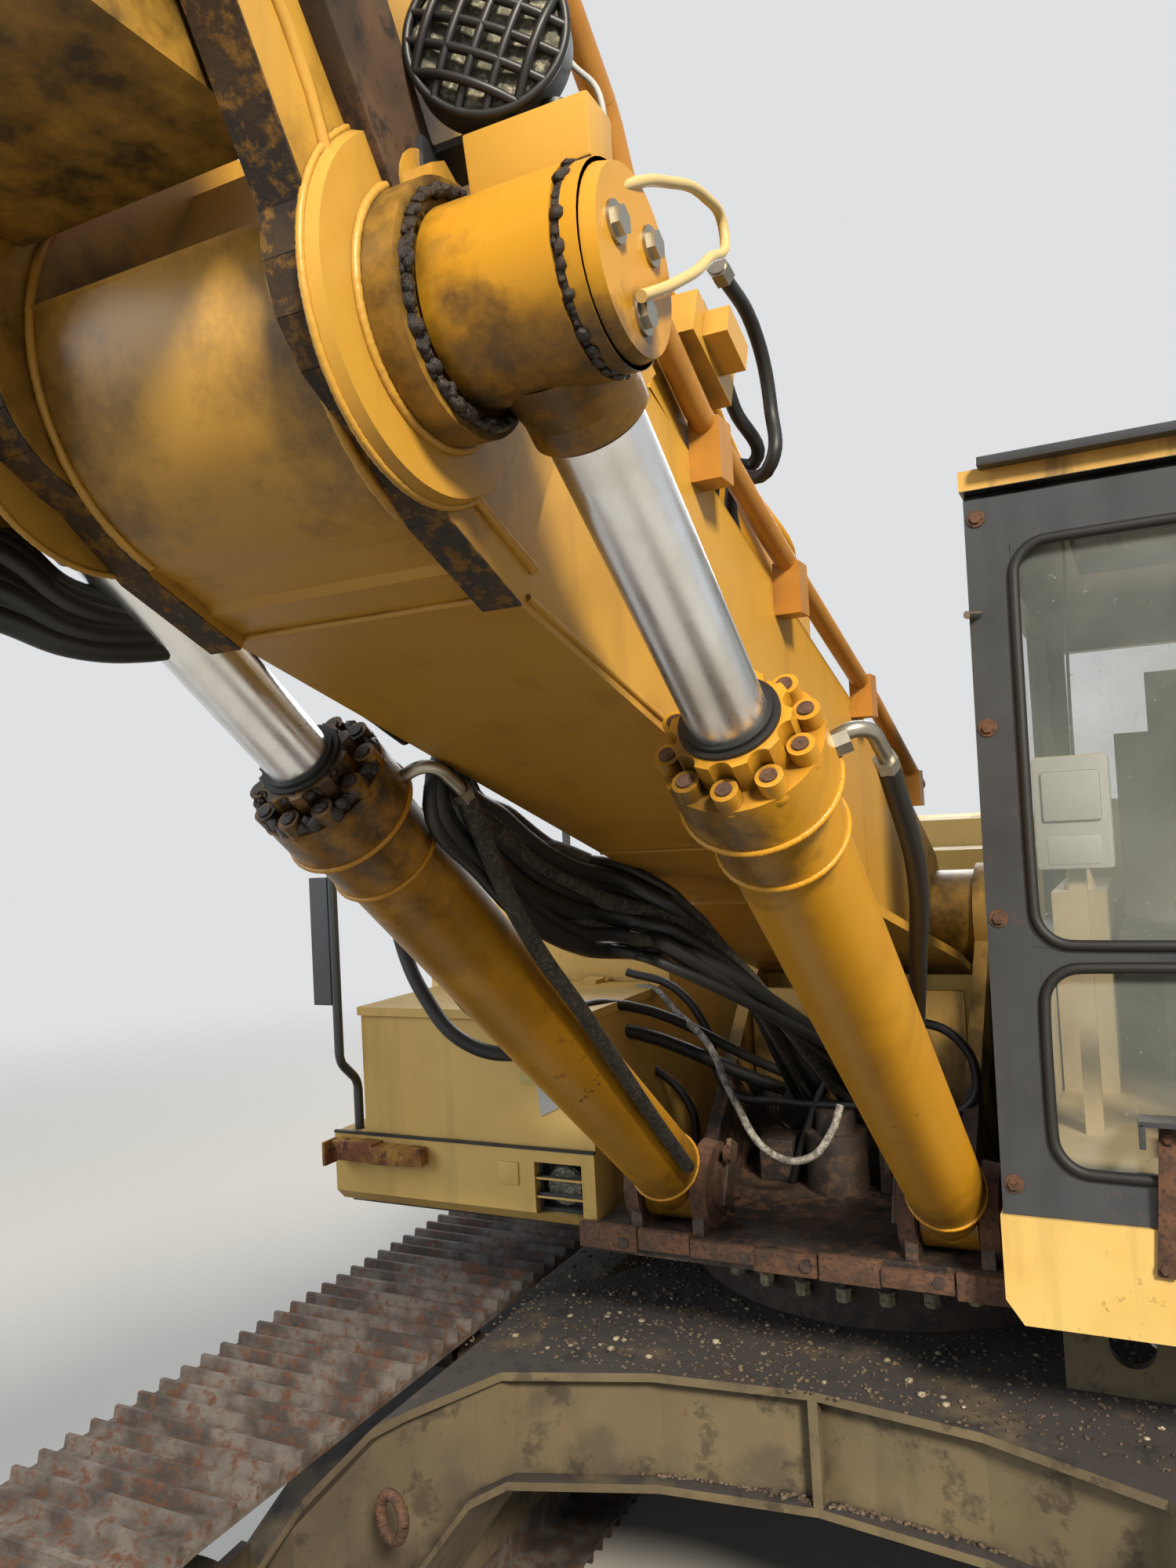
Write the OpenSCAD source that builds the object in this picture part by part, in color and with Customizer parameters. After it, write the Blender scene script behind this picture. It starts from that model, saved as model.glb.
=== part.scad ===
// Crawler excavator with an adjustable two-piece boom, parked with its bucket on the ground.
// Millimetres. X to the machine's left (cab side), -Y to the front, Z up, ground at Z = 0.
// Places are given from the swing axis; set_down() moves them into the part's frame.

/* [Tracks] */
// Pitch of the track chain
track_pitch = 216; // [190:1:230]
// Shoes in each track
shoe_count = 50; // [44:1:54]
// Width of a shoe
shoe_w = 600; // [500:10:800]
// Distance between the idler's axis and the sprocket's axis
wheel_base = 4040; // [3600:10:4400]
// Distance between the middles of the two tracks
gauge = 2590; // [2400:10:2900]
// Chain pin to the inner face of a shoe
shoe_seat = 58; // [45:1:70]
// Thickness of a shoe plate
shoe_t = 14; // [10:1:20]
// Height of a grouser
grouser_h = 26; // [15:1:40]
// Thickness of a grouser at its tip
grouser_t = 12; // [8:1:20]
// Half the height of a chain link
link_half = 50; // [40:1:55]
// Width over the chain links
chain_w = 180; // [140:1:220]
// Bottom rollers of each track
roller_count = 9; // [7:1:10]
// Radius of a bottom roller's tread
roller_r = 95; // [80:1:110]
// Radius of a carrier roller's tread
carrier_r = 72; // [60:1:90]
// Width of a track frame
track_frame_w = 260; // [220:1:300]
// Teeth of a drive sprocket
sprocket_teeth = 21; // [19:1:25]

/* [Carbody and swing bearing] */
// Top of the carbody's plate
carbody_top = 1050; // [950:5:1100]
// Height of the carbody's box
carbody_h = 300; // [240:5:340]
// Thickness of the carbody's plates
carbody_plate = 22; // [15:1:30]
// How far the carbody's flanges stand out over its webs
carbody_lip = 45; // [20:1:70]
// Outer radius of the swing bearing
bearing_r = 685; // [620:1:720]
// Bolts of the swing bearing
bearing_bolts = 36; // [24:1:48]

/* [Upper frame] */
// Underside of the upper frame's deck
deck_bottom = 1335; // [1300:1:1380]
// Thickness of the deck
deck_t = 65; // [40:1:80]
// Half the width of the upper frame
deck_half = 1460; // [1350:10:1500]
// Front edge of the deck's middle, ahead of the swing axis
deck_front = 1040; // [950:5:1100]
// Rear edge of the deck, behind the swing axis
deck_rear = 2350; // [2200:10:2500]
// Front wall of the engine housing, behind the swing axis
house_front = 700; // [650:10:760]
// Radius of the counterweight's back
tail_r = 3300; // [3000:10:3500]
// Top of the counterweight
tail_top = 2280; // [2000:10:2400]
// Top of the engine housing's sides
house_top = 2290; // [2000:10:2400]
// Thickness of the upper frame's boom plates
frame_plate = 40; // [25:1:50]

/* [Cab] */
// Inner side of the cab
cab_x0 = 491; // [480:1:560]
// Width of the cab
cab_w = 985; // [900:5:1000]
// Front of the cab at its sill, ahead of the swing axis
cab_front = 1166; // [1100:1:1250]
// How far the cab's front leans back at the roof
cab_lean = 130; // [0:1:200]
// Back of the cab, behind the swing axis
cab_back = 560; // [500:1:650]
// Height of the cab's frame over the deck
cab_riser = 177; // [140:1:220]
// Height of the cab from its frame to its roof
cab_h = 1587; // [1450:1:1680]
// Thickness of the cab's posts and walls
cab_wall = 60; // [40:1:80]
// Thickness of the cab's glass
glass_t = 6; // [4:1:10]

/* [Boom] */
// Height of the boom's foot pin
foot_z = 2100; // [2000:1:2200]
// Boom foot pin behind the swing axis
foot_y = 20; // [-100:1:200]
// Boom foot pin to knee pin
base_len = 3328; // [3000:1:3600]
// Lift of the line from foot pin to knee pin, as parked
base_tilt = 22.25; // [10:0.05:40]
// Half the width over the base boom's side plates
boom_half = 205; // [180:1:240]
// Half the width over the knee's ears
ear_half = 225; // [200:1:260]
// Half the gap between the knee's ears
ear_gap = 175; // [150:1:190]
// Radius of the knee eye
knee_r = 200; // [170:1:230]
// Knee pin to stick pin
fore_len = 3100; // [2800:1:3400]
// Lift of the line from knee pin to stick pin, as parked
fore_tilt = 4; // [-10:0.5:10]
// Radius of the main pins
pin_r = 55; // [45:1:65]

/* [Hydraulic cylinders] */
// Distance from the machine's middle to a boom cylinder
lift_x = 350; // [330:1:380]
// Boom cylinder foot pin ahead of the swing axis
lift_foot_y = -930; // [-1000:1:-850]
// Height of the boom cylinders' foot pins
lift_foot_z = 1499; // [1470:1:1550]
// Rod eye along the base boom
lift_eye_u = 2950; // [2800:1:3050]
// Rod eye below the base boom's pin line
lift_eye_v = -306; // [-340:1:-280]
// Barrel radius of a boom cylinder
lift_barrel_r = 90; // [80:1:100]
// Rod radius of a boom cylinder
lift_rod_r = 52.5; // [45:0.5:60]
// Foot eye to gland face of a boom cylinder
lift_barrel_len = 1780; // [1600:1:1790]
// Width of a cylinder's eyes
eye_w = 130; // [100:1:150]

/* [Stick and bucket] */
// Stick pin to bucket pin
stick_len = 2800; // [2400:10:3200]
// Lean of the parked stick out of the vertical
stick_lean = 19.5; // [0:0.5:30]
// Half the width of the stick
stick_half = 170; // [150:1:180]
// Half the width of the bucket
bucket_half = 700; // [500:10:800]
// Teeth of the bucket
teeth = 5; // [3:1:6]
// Bucket pin to the rocker's pin on the stick
rocker_back = 480; // [440:5:560]
// Length of the rocker
rocker_len = 620; // [580:5:700]
// Bucket pin to the link's pin in the bucket
link_arm = 460; // [430:5:500]
// Turn of the link's pin from the stick's line, as parked
link_turn = 21; // [10:1:30]
// Length of the bucket link
link_len = 580; // [550:5:640]
// Radius of the bucket's heel
heel_r = 380; // [340:5:420]
// Bucket pin to the cutting edge along the ground
lip_run = 1110; // [1000:10:1200]
// Line of the bucket's pins to its back plate
back_in = 140; // [130:5:160]
// Thickness of the bucket's plates
bucket_plate = 26; // [16:1:32]

/* [Clearances] */
// Radial clearance of a pin in its bore
pin_fit = 0.1; // [0.05:0.01:0.1]
// Gap beside an eye or hub
side_gap = 5; // [5:1:10]
// Gap between panels that open
panel_gap = 6; // [5:1:10]
// Seat between bodies that touch
seat = 0.3; // [0.2:0.1:0.5]

/* [Hidden] */
$fn = 48;
chain_r = (shoe_count * track_pitch - 2 * wheel_base) / (2 * PI);
track_out = shoe_seat + shoe_t + grouser_h;
track_z = chain_r + track_out;
half_base = wheel_base / 2;
arc_len = PI * chain_r;
loop_len = shoe_count * track_pitch;
wheel_r = (chain_r - link_half) * cos(180 / 48) - seat;
yoke_in = 90;
carrier_x = 105;
hub_top = 1256;
foot_neck = 112;
deck_top = deck_bottom + deck_t;
cab_sill = deck_top + cab_riser;
cab_top = cab_sill + cab_h;
beam_top = deck_top + 120;
hinge_pin_r = 8;
hinge_r = 15;
cab_x1 = cab_x0 + cab_w;
cab_mid = (cab_x0 + cab_x1) / 2;
rail_x = boom_half + 120;
knee = [foot_y - base_len * cos(base_tilt), foot_z + base_len * sin(base_tilt)];
stick_pin = knee + fore_len * [-cos(fore_tilt), sin(fore_tilt)];
stick_dir = [-sin(stick_lean), -cos(stick_lean)];
stick_out = [-cos(stick_lean), sin(stick_lean)];
bucket_pin = stick_pin + stick_len * stick_dir;
tail_y = tail_r;
link_hub_r = 80;

// Places along the arm, [y, z], from its own line [u, v]
function on_base(u, v) = [foot_y - u * cos(base_tilt) + v * sin(base_tilt),
                          foot_z + u * sin(base_tilt) + v * cos(base_tilt)];
function on_fore(u, v) = knee + [-u * cos(fore_tilt) + v * sin(fore_tilt),
                                 u * sin(fore_tilt) + v * cos(fore_tilt)];
function on_stick(u, v) = stick_pin + u * stick_dir + v * stick_out;
function polar(r, a) = r * [cos(a), sin(a)];

lift_foot = [lift_foot_y, lift_foot_z];
lift_eye = on_base(lift_eye_u, lift_eye_v);
adjust_foot = on_base(1300, 360);
adjust_eye = on_fore(50, 520);
arm_foot = on_fore(400, 430);
arm_eye = on_stick(-800, 0);
curl_foot = on_stick(150, 430);
rocker_at = [stick_len - rocker_back, 30];
link_at = [stick_len, 0] + polar(link_arm, link_turn);
// The rocker's end, where its circle meets the link's
link_way = link_at - rocker_at;
link_gap = norm(link_way);
link_swing = acos((pow(rocker_len, 2) + pow(link_gap, 2) - pow(link_len, 2)) / (2 * rocker_len * link_gap));
joint_at = rocker_at + polar(rocker_len, atan2(link_way[1], link_way[0]) + link_swing);
rocker_pin = on_stick(rocker_at[0], rocker_at[1]);
link_pin = on_stick(link_at[0], link_at[1]);
curl_eye = on_stick(joint_at[0], joint_at[1]);
// The link's joint is foremost and the counterweight's back is last; the frame's origin is midway
front_y = curl_eye[0] - link_hub_r;
frame_y = -(front_y + tail_y) / 2;

yellow = [0.93, 0.66, 0.12];
black = [0.08, 0.08, 0.08];
steel = [0.6, 0.6, 0.62];
rust = [0.33, 0.24, 0.18];
dark = [0.2, 0.19, 0.18];
beige = [0.72, 0.66, 0.52];

// Shared shapes

module set_down() {
  translate([0, frame_y, 0]) children();
}

// A profile drawn as [y, z], thick along X
module side_slab(x0, w) {
  translate([x0, 0, 0]) rotate([90, 0, 90]) linear_extrude(w) children();
}

// A profile drawn as [x, z], thick along Y
module front_slab(y0, d) {
  translate([0, y0 + d, 0]) rotate([90, 0, 0]) linear_extrude(d) children();
}

// Two like slabs, one at each side of the machine's middle
module both_sides(x0, x1) {
  for (side = [-1, 1])
    side_slab(side > 0 ? x0 : -x1, x1 - x0) children();
}

// A bar along X at [y, z]
module cross_bar(r, x0, x1, at) {
  translate([x0, at[0], at[1]]) rotate([0, 90, 0]) cylinder(r = r, h = x1 - x0);
}

// A round-ended strap between two points of a drawing
module strap(p, q, rp, rq) {
  way = q - p;
  turn = atan2(way[1], way[0]);
  lean = acos((rp - rq) / norm(way));
  translate(p) circle(rp);
  translate(q) circle(rq);
  // The straight sides run just inside the round ends, so that they cross them and don't graze them
  polygon([p + polar(rp - 0.3, turn + lean), q + polar(rq - 0.3, turn + lean),
           q + polar(rq - 0.3, turn - lean), p + polar(rp - 0.3, turn - lean)]);
}

// Children stand along the way from p to q, both [y, z], at x
module aimed(x, p, q) {
  translate([x, p[0], p[1]]) rotate([atan2(p[0] - q[0], q[1] - p[1]), 0, 0]) children();
}

module block(x0, x1, y0, y1, z0, z1) {
  translate([x0, y0, z0]) cube([x1 - x0, y1 - y0, z1 - z0]);
}

// A pipe in the plane X = x through points [y, z], with round bends between its straight runs
module bent_pipe(x, points, r, bend) {
  last = len(points) - 1;
  function way(k) = let (d = points[k + 1] - points[k]) atan2(d[1], d[0]);
  function turn(k) = let (t = way(k) - way(k - 1)) t > 180 ? t - 360 : t < -180 ? t + 360 : t;
  function trim(k) = k == 0 || k == last ? 0 : bend * tan(abs(turn(k)) / 2);
  function lap(k) = k == 0 || k == last ? 0 : 1;
  for (k = [0:last - 1])
    aimed(x, points[k] + polar(trim(k) - lap(k), way(k)), points[k + 1])
      cylinder(r = r, h = norm(points[k + 1] - points[k]) - trim(k) - trim(k + 1) + lap(k) + lap(k + 1));
  for (k = [1:last - 1])
    let (side = sign(turn(k)), start = points[k] - polar(trim(k), way(k - 1)),
         centre = start + polar(bend, way(k - 1) + 90 * side),
         first = side > 0 ? way(k - 1) - 90 : way(k) + 90)
      translate([x, centre[0], centre[1]]) rotate([90, 0, 90]) rotate(first)
        rotate_extrude(angle = abs(turn(k))) translate([bend, 0]) circle(r - 0.5);
}

// Hydraulic cylinders

// Barrel from its foot eye, which is at the origin, along +Z to the gland's face
module barrel(len, r, rod_r, bore_r, half_w) {
  difference() {
    union() {
      rotate([0, 90, 0]) cylinder(r = r, h = 2 * half_w, center = true);
      intersection() {
        cylinder(r = r - 4, h = foot_neck + 1);
        cube([2 * half_w, 2 * r + 2, 2 * foot_neck + 4], center = true);
      }
      translate([0, 0, foot_neck]) cylinder(r = r, h = len - 60 - foot_neck);
      translate([0, 0, len - 250]) cylinder(r = r + 6, h = 110);
      translate([0, 0, len - 140]) cylinder(r = r + 22, h = 50);
      translate([0, 0, len - 90]) gland(r, rod_r);
    }
    rotate([0, 90, 0]) cylinder(r = pin_r + pin_fit, h = 3 * half_w, center = true);
    translate([0, 0, foot_neck + 45]) cylinder(r = bore_r, h = len - foot_neck - 45 - 90);
    translate([0, 0, len - 200]) cylinder(r = rod_r + pin_fit, h = 400);
  }
}

// Gland head with its ring of scallops and socket bolts
module gland(r, rod_r) {
  difference() {
    union() {
      cylinder(r = r + 22, h = 40);
      cylinder(r = r - 8, h = 90);
    }
    for (k = [0:9])
      rotate(k * 36 + 18) translate([r - 2, 0, 46]) cylinder(r = 17, h = 60);
  }
  for (k = [0:9])
    rotate(k * 36 + 18) translate([r + 7, 0, 30]) cylinder(r = 12, h = 32);
}

// Rod from inside its barrel to its eye, which is at the origin, pointing along -Z
module rod(len, r, eye_r, half_w) {
  rotate([0, 90, 0]) cylinder(r = eye_r, h = 2 * half_w, center = true);
  translate([0, 0, -len]) cylinder(r = r, h = len - eye_r * 0.6);
  translate([0, 0, -eye_r - 45]) cylinder(r = r + 8, h = 70);
}

// Undercarriage

// A point [y, z] of the track's loop: s along the pin line, v outwards from it
function loop_point(s, v) =
  let (t = (s + 2 * loop_len) % loop_len, r = chain_r + v)
  t < half_base ? [-t, r]
  : t < half_base + arc_len ? let (a = (t - half_base) / chain_r * 180 / PI)
    [-half_base - r * sin(a), r * cos(a)]
  : t < 3 * half_base + arc_len ? [t - 2 * half_base - arc_len, -r]
  : t < 3 * half_base + 2 * arc_len ? let (a = (t - 3 * half_base - arc_len) / chain_r * 180 / PI)
    [half_base + r * sin(a), -r * cos(a)]
  : [loop_len - t, r];

// One shoe's outline along and out from the pin line: three grousers on a plate
grouser_base = 24;
function shoe_profile() =
  [for (k = [-1, 0, 1]) each [[k * 72 - grouser_base / 2, shoe_seat + shoe_t],
                              [k * 72 - grouser_t / 2, track_out],
                              [k * 72 + grouser_t / 2, track_out],
                              [k * 72 + grouser_base / 2, shoe_seat + shoe_t]]];

function loop_ring(v, turns) =
  [for (k = [0:turns]) loop_point(half_base + arc_len * k / turns, v),
   for (k = [0:turns]) loop_point(3 * half_base + arc_len + arc_len * k / turns, v)];

module track(side) {
  color(rust) translate([side * gauge / 2, 0, track_z]) {
    side_slab(-shoe_w / 2, shoe_w) difference() {
      polygon([for (i = [0:shoe_count - 1], p = shoe_profile())
               loop_point((i + 0.5) * track_pitch + p[0], p[1])]);
      polygon(loop_ring(shoe_seat, 20));
    }
    side_slab(-chain_w / 2, chain_w) difference() {
      polygon(loop_ring(shoe_seat + 4, 20));
      polygon(loop_ring(-link_half, 24));
    }
  }
}

module track_left() {
  set_down() track(1);
}

module track_right() {
  set_down() track(-1);
}

frame_bottom = 345;
frame_top = 720;

module track_frame(side) {
  x = side * gauge / 2;
  x0 = x - track_frame_w / 2;
  color(rust) {
    side_slab(x0, track_frame_w)
      polygon([[-1480, frame_bottom], [1560, frame_bottom], [1600, frame_top - 120], [1450, frame_top],
               [-1200, frame_top], [-1480, frame_top - 120]]);
    // Yoke of the idler and the seat of the final drive
    for (inner = [-1, 1])
      side_slab(inner > 0 ? x + yoke_in : x - yoke_in - 30, 30)
        polygon([[-half_base - 60, track_z - 70], [-1470, track_z - 160], [-1470, track_z + 110],
                 [-half_base - 60, track_z + 70]]);
    difference() {
      side_slab(side > 0 ? x0 : x0 + track_frame_w - 60, 60)
        strap([1600, track_z], [half_base, track_z], 165, 250);
      cross_bar(motor_r + seat, x - 400, x + 400, [half_base, track_z]);
    }
    // Roller guards and the brackets of the carrier rollers
    for (inner = [-1, 1])
      side_slab(inner > 0 ? x + track_frame_w / 2 - 14 : x0, 14)
        polygon([[-900, frame_bottom + 1], [-860, 190], [860, 190], [900, frame_bottom + 1]]);
    for (y = carrier_y)
      side_slab(x - side * carrier_x - 10, 20)
        polygon([[y - 80, frame_top - 1], [y - 45, carrier_z + 50], [y + 45, carrier_z + 50],
                 [y + 80, frame_top - 1]]);
  }
}

carrier_y = [-700, 800];
carrier_z = track_z + chain_r - link_half - carrier_r - seat;
motor_r = 180;

module track_frame_left() {
  set_down() track_frame(1);
}

module track_frame_right() {
  set_down() track_frame(-1);
}

module running_gear(side) {
  x = side * gauge / 2;
  roller_z = track_out + link_half + roller_r + seat;
  color(dark) {
    // Idler between its yokes
    cross_bar(wheel_r, x - 80, x + 80, [-half_base, track_z]);
    cross_bar(60, x - yoke_in + seat, x + yoke_in - seat, [-half_base, track_z]);
    // Sprocket with its hub, motor and cover
    side_slab(x - 45, 90) translate([half_base, track_z])
      polygon([for (k = [0:sprocket_teeth - 1], c = [[-0.3, 0], [-0.16, -34], [0.16, -34], [0.3, 0]])
               polar(wheel_r + c[1], (k + c[0]) * 360 / sprocket_teeth)]);
    for (part = [[230, 44, 190], [150, 189, 240], [motor_r, -300, -44]])
      cross_bar(part[0], min(x + side * part[1], x + side * part[2]), max(x + side * part[1], x + side * part[2]),
                [half_base, track_z]);
    // Bottom rollers on their brackets
    for (k = [0:roller_count - 1])
      let (y = (k - (roller_count - 1) / 2) * 375) {
        cross_bar(roller_r, x - 86, x + 86, [y, roller_z]);
        cross_bar(40, x - 114, x + 114, [y, roller_z]);
        for (x0 = [x - 114, x + 100])
          block(x0, x0 + 14, y - 60, y + 60, roller_z - 40, frame_bottom - seat);
      }
    // Carrier rollers on their shafts
    for (y = carrier_y) {
      cross_bar(carrier_r, x - 85, x + 85, [y, carrier_z]);
      cross_bar(30, min(x, x - side * (carrier_x - 10 - seat)), max(x, x - side * (carrier_x - 10 - seat)),
                [y, carrier_z]);
    }
  }
}

module running_gear_left() {
  set_down() running_gear(1);
}

module running_gear_right() {
  set_down() running_gear(-1);
}

// Half of the carbody's outline from above, front quarter, drawn with its lip taken in
function carbody_quarter(lip) =
  [[0, -1014 + lip], [400, -1062 + lip], [770, -1190 + lip], [887 + lip * 0.4, -1440 + lip],
   [975 + lip, -1720 + lip * 0.2], [1170, -1760 + lip], [1170, -1080 - lip], [900 - lip * 0.5, -760 - lip],
   [690 - lip, -400]];
function flip(points, sx, sy) = [for (p = points) [p[0] * sx, p[1] * sy]];
function back(points) = [for (k = [len(points) - 1:-1:0]) points[k]];

module carbody_plan(lip) {
  q = carbody_quarter(lip);
  polygon(concat(q, back(flip(q, 1, -1)), flip(q, -1, -1), back(flip(q, -1, 1))));
}

// What the carbody fills as seen from the front; its legs drop to the track frames
module carbody_arch(drop) {
  inner = gauge / 2 - track_frame_w / 2 - seat;
  front_slab(-2500, 5000)
    polygon([[-inner, carbody_top - 330 - drop], [-920, carbody_top - drop], [920, carbody_top - drop],
             [inner, carbody_top - 330 - drop], [inner, frame_bottom + drop], [1080, frame_bottom + drop],
             [820, carbody_top - carbody_h + drop], [-820, carbody_top - carbody_h + drop],
             [-1080, frame_bottom + drop], [-inner, frame_bottom + drop]]);
}

// The legs are weldments of their own against the middle section
leg_joint = 820;

module carbody() {
  set_down() color(rust) {
    difference() {
      carbody_box();
      for (x = [-leg_joint - seat, leg_joint])
        block(x, x + seat, -2500, 2500, 200, carbody_top + 1);
    }
    // Tie-down lug on the top plate
    translate([560, -760, carbody_top + seat]) rotate([90, 0, 0]) linear_extrude(30) difference() {
      square([300, 240]);
      translate([150, 120 - seat]) circle(52);
    }
  }
}

module carbody_box() {
  intersection() {
    translate([0, 0, 300]) linear_extrude(900) carbody_plan(0);
    difference() {
      carbody_arch(0);
      carbody_arch(carbody_plate);
    }
  }
  intersection() {
    translate([0, 0, 300]) linear_extrude(900) carbody_plan(carbody_lip);
    carbody_arch(0);
  }
  translate([0, 0, carbody_top - 1]) cylinder(r = bearing_r - 50, h = 141);
  // Front and rear stiffeners
  for (side = [-1, 1])
    block(-12, 12, side > 0 ? 1014 - carbody_lip - 1 : -1014, side > 0 ? 1014 : -1014 + carbody_lip + 1,
          carbody_top - carbody_h, carbody_top);
}

module swing_bearing() {
  set_down() color(dark) {
    difference() {
      union() {
        translate([0, 0, 1190]) cylinder(r = bearing_r, h = 60);
        translate([0, 0, 1250]) cylinder(r = bearing_r - 30, h = 65);
      }
      translate([0, 0, 1180]) cylinder(r = 560, h = 200);
    }
    for (k = [0:bearing_bolts - 1])
      rotate(k * 360 / bearing_bolts) translate([bearing_r - 22, 0, 1165]) cylinder(r = 14, h = 26);
  }
}

// Upper frame

module main_frame() {
  set_down() color(yellow) {
    translate([0, 0, deck_bottom]) linear_extrude(deck_t)
      polygon([[-deck_half, -900], [box_x1 + 5, -900], [box_x1 + 5, -deck_front], [cab_x0 - 11, -deck_front],
               [cab_x0 - 11, -930], [deck_half, -930], [deck_half, deck_rear - 500], [700, deck_rear],
               [-700, deck_rear], [-deck_half, deck_rear - 500]]);
    translate([0, 0, hub_top]) cylinder(r = 550, h = deck_bottom + 1 - hub_top);
    boom_plates();
    lift_lugs();
    // Boom foot pin with its end plates, and the pins of the boom cylinders' feet
    cross_bar(pin_r, -rail_x - side_gap - frame_plate - 12, rail_x + side_gap + frame_plate + 12, [foot_y, foot_z]);
    for (side = [-1, 1])
      cross_bar(pin_r, side * lift_x - 112, side * lift_x + 112, lift_foot);
  }
}

// The two long plates that carry the boom's foot
module boom_plates() {
  both_sides(rail_x + side_gap, rail_x + side_gap + frame_plate) {
    polygon([[-790, deck_top - 1], [-770, deck_top + 60], [-640, 1580],
             [foot_y - 160, foot_z - 60], [foot_y + 165, foot_z - 30], [house_front - 60, deck_top + 330],
             [house_front - 20, beam_top], [deck_rear, beam_top], [deck_rear, deck_top - 1]]);
    translate([foot_y, foot_z]) circle(170);
  }
}

// The four lugs that carry the boom cylinders' feet
module lift_lugs() {
  half = eye_w / 2 + side_gap;
  for (x = [-lift_x - half - 30, -lift_x + half, lift_x - half - 30, lift_x + half])
    side_slab(x, 30) {
      translate(lift_foot) circle(92);
      polygon([[lift_foot[0] - 92, lift_foot[1]], [lift_foot[0] - 100, deck_top - 1],
               [lift_foot[0] + 150, deck_top - 1], [lift_foot[0] + 92, lift_foot[1]]]);
    }
}

module counterweight() {
  set_down() color(yellow) difference() {
    union() {
      intersection() {
        rotate_extrude()
          polygon([[0, 1180], [tail_r - 420, 1180], [tail_r - 110, 1310], [tail_r - 30, 1480], [tail_r, 1640],
                   [tail_r, tail_top - 90], [tail_r - 70, tail_top], [0, tail_top]]);
        translate([0, 0, 1170]) linear_extrude(tail_top)
          polygon([[-deck_half, deck_rear + seat], [deck_half, deck_rear + seat], [deck_half, tail_r - 500],
                   [deck_half - 90, tail_r - 340], [deck_half - 260, tail_r + 10], [260 - deck_half, tail_r + 10],
                   [90 - deck_half, tail_r - 340], [-deck_half, tail_r - 500]]);
      }
      for (x = [-lifting_x, lifting_x])
        side_slab(x - 25, 50) translate([lifting_y, tail_top]) {
          polygon([[-95, -1], [95, -1], [57, lifting_h + 15], [-57, lifting_h + 15]]);
          translate([0, lifting_h]) circle(60);
        }
    }
    for (x = [-lifting_x, lifting_x])
      cross_bar(32, x - 50, x + 50, [lifting_y, tail_top + lifting_h]);
  }
}

// Lifting eyes on the counterweight
lifting_x = 900;
lifting_y = 2700;
lifting_h = 75;

module engine_block() {
  set_down() color(dark)
    block(-700, 600, house_front + 550, deck_rear - 200, beam_top + seat, house_top - 160);
}

hood_half = 1050;
hood_front = house_front + 520;
hood_back = deck_rear - 30;
bay_y0 = house_front + 90;
bay_y1 = deck_rear - 110;
bay_z0 = deck_top + 60;
bay_z1 = house_top - 70;
bay_hinge_x = deck_half + hinge_r + 2;
bay_hinge_y = bay_y0 + panel_gap;
hinge_len = 90;

roof_bevel = 60;

// Front outline of the engine housing taken in by t, with bevelled roof edges and open below
module house_outline(t) {
  side = deck_half - t;
  low = roof_bevel + 0.41 * t;
  polygon([[-side, deck_top - t], [side, deck_top - t], [side, house_top - low], [deck_half - low, house_top - t],
           [low - deck_half, house_top - t], [-side, house_top - low]]);
}

module engine_housing() {
  set_down() color(yellow) {
    difference() {
      front_slab(house_front, deck_rear - house_front) house_outline(0);
      front_slab(house_front + 30, deck_rear - house_front - 60) house_outline(30);
      // Bays behind the side doors, and the opening below the hood
      for (side = [-1, 1])
        block(side > 0 ? deck_half - 60 : -deck_half - 60, side > 0 ? deck_half + 60 : -deck_half + 60,
              bay_y0, bay_y1, bay_z0, bay_z1);
      block(-hood_half + 60, hood_half - 60, hood_front + 60, hood_back - 60, house_top - 60, house_top + 1);
      // Room for the frame's beams
      block(-rail_x - 60, rail_x + 60, house_front - 1, deck_rear + 1, deck_top - 1, beam_top + 4);
    }
    for (side = [-1, 1], z = hinge_heights)
      translate([side * bay_hinge_x, bay_hinge_y, z]) hinge_block(side);
    for (x = hood_hinges)
      translate([x, hood_front - hinge_r, house_top + hinge_r]) hood_hinge_block();
  }
}

hinge_heights = [bay_z0 + 90, bay_z1 - 90 - hinge_len];
hood_hinges = [-700, 700 - hinge_len];

// Pin and arms of a side door's hinge; the arms reach from the wall ahead of the door
module hinge_block(side) {
  wall = -side * (bay_hinge_x - deck_half + 1);
  cylinder(r = hinge_pin_r, h = hinge_len);
  for (z = [0, hinge_len - 16])
    translate([0, 0, z]) linear_extrude(16) hull() {
      circle(11);
      polygon([[wall, -24], [wall * 0.5, -24], [wall * 0.5, -48], [wall, -48]]);
    }
}

module hinge_leaf(side) {
  wall = -side * (bay_hinge_x - deck_half + 1);
  difference() {
    union() {
      translate([0, 0, 16 + seat]) cylinder(r = hinge_r, h = hinge_len - 32 - 2 * seat);
      translate([min(wall, -side * 8), 0, 16 + seat])
        cube([hinge_r - 5, 70, hinge_len - 32 - 2 * seat]);
    }
    cylinder(r = hinge_pin_r + pin_fit, h = hinge_len);
  }
}

// Pin and arms of the hood's hinge, along +X
module hood_hinge_block() {
  rotate([0, 90, 0]) cylinder(r = hinge_pin_r, h = hinge_len);
  for (x = [0, hinge_len - 16])
    translate([x, -hinge_r, -hinge_r - 1]) cube([16, hinge_r, hinge_r + 1]);
}

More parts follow.
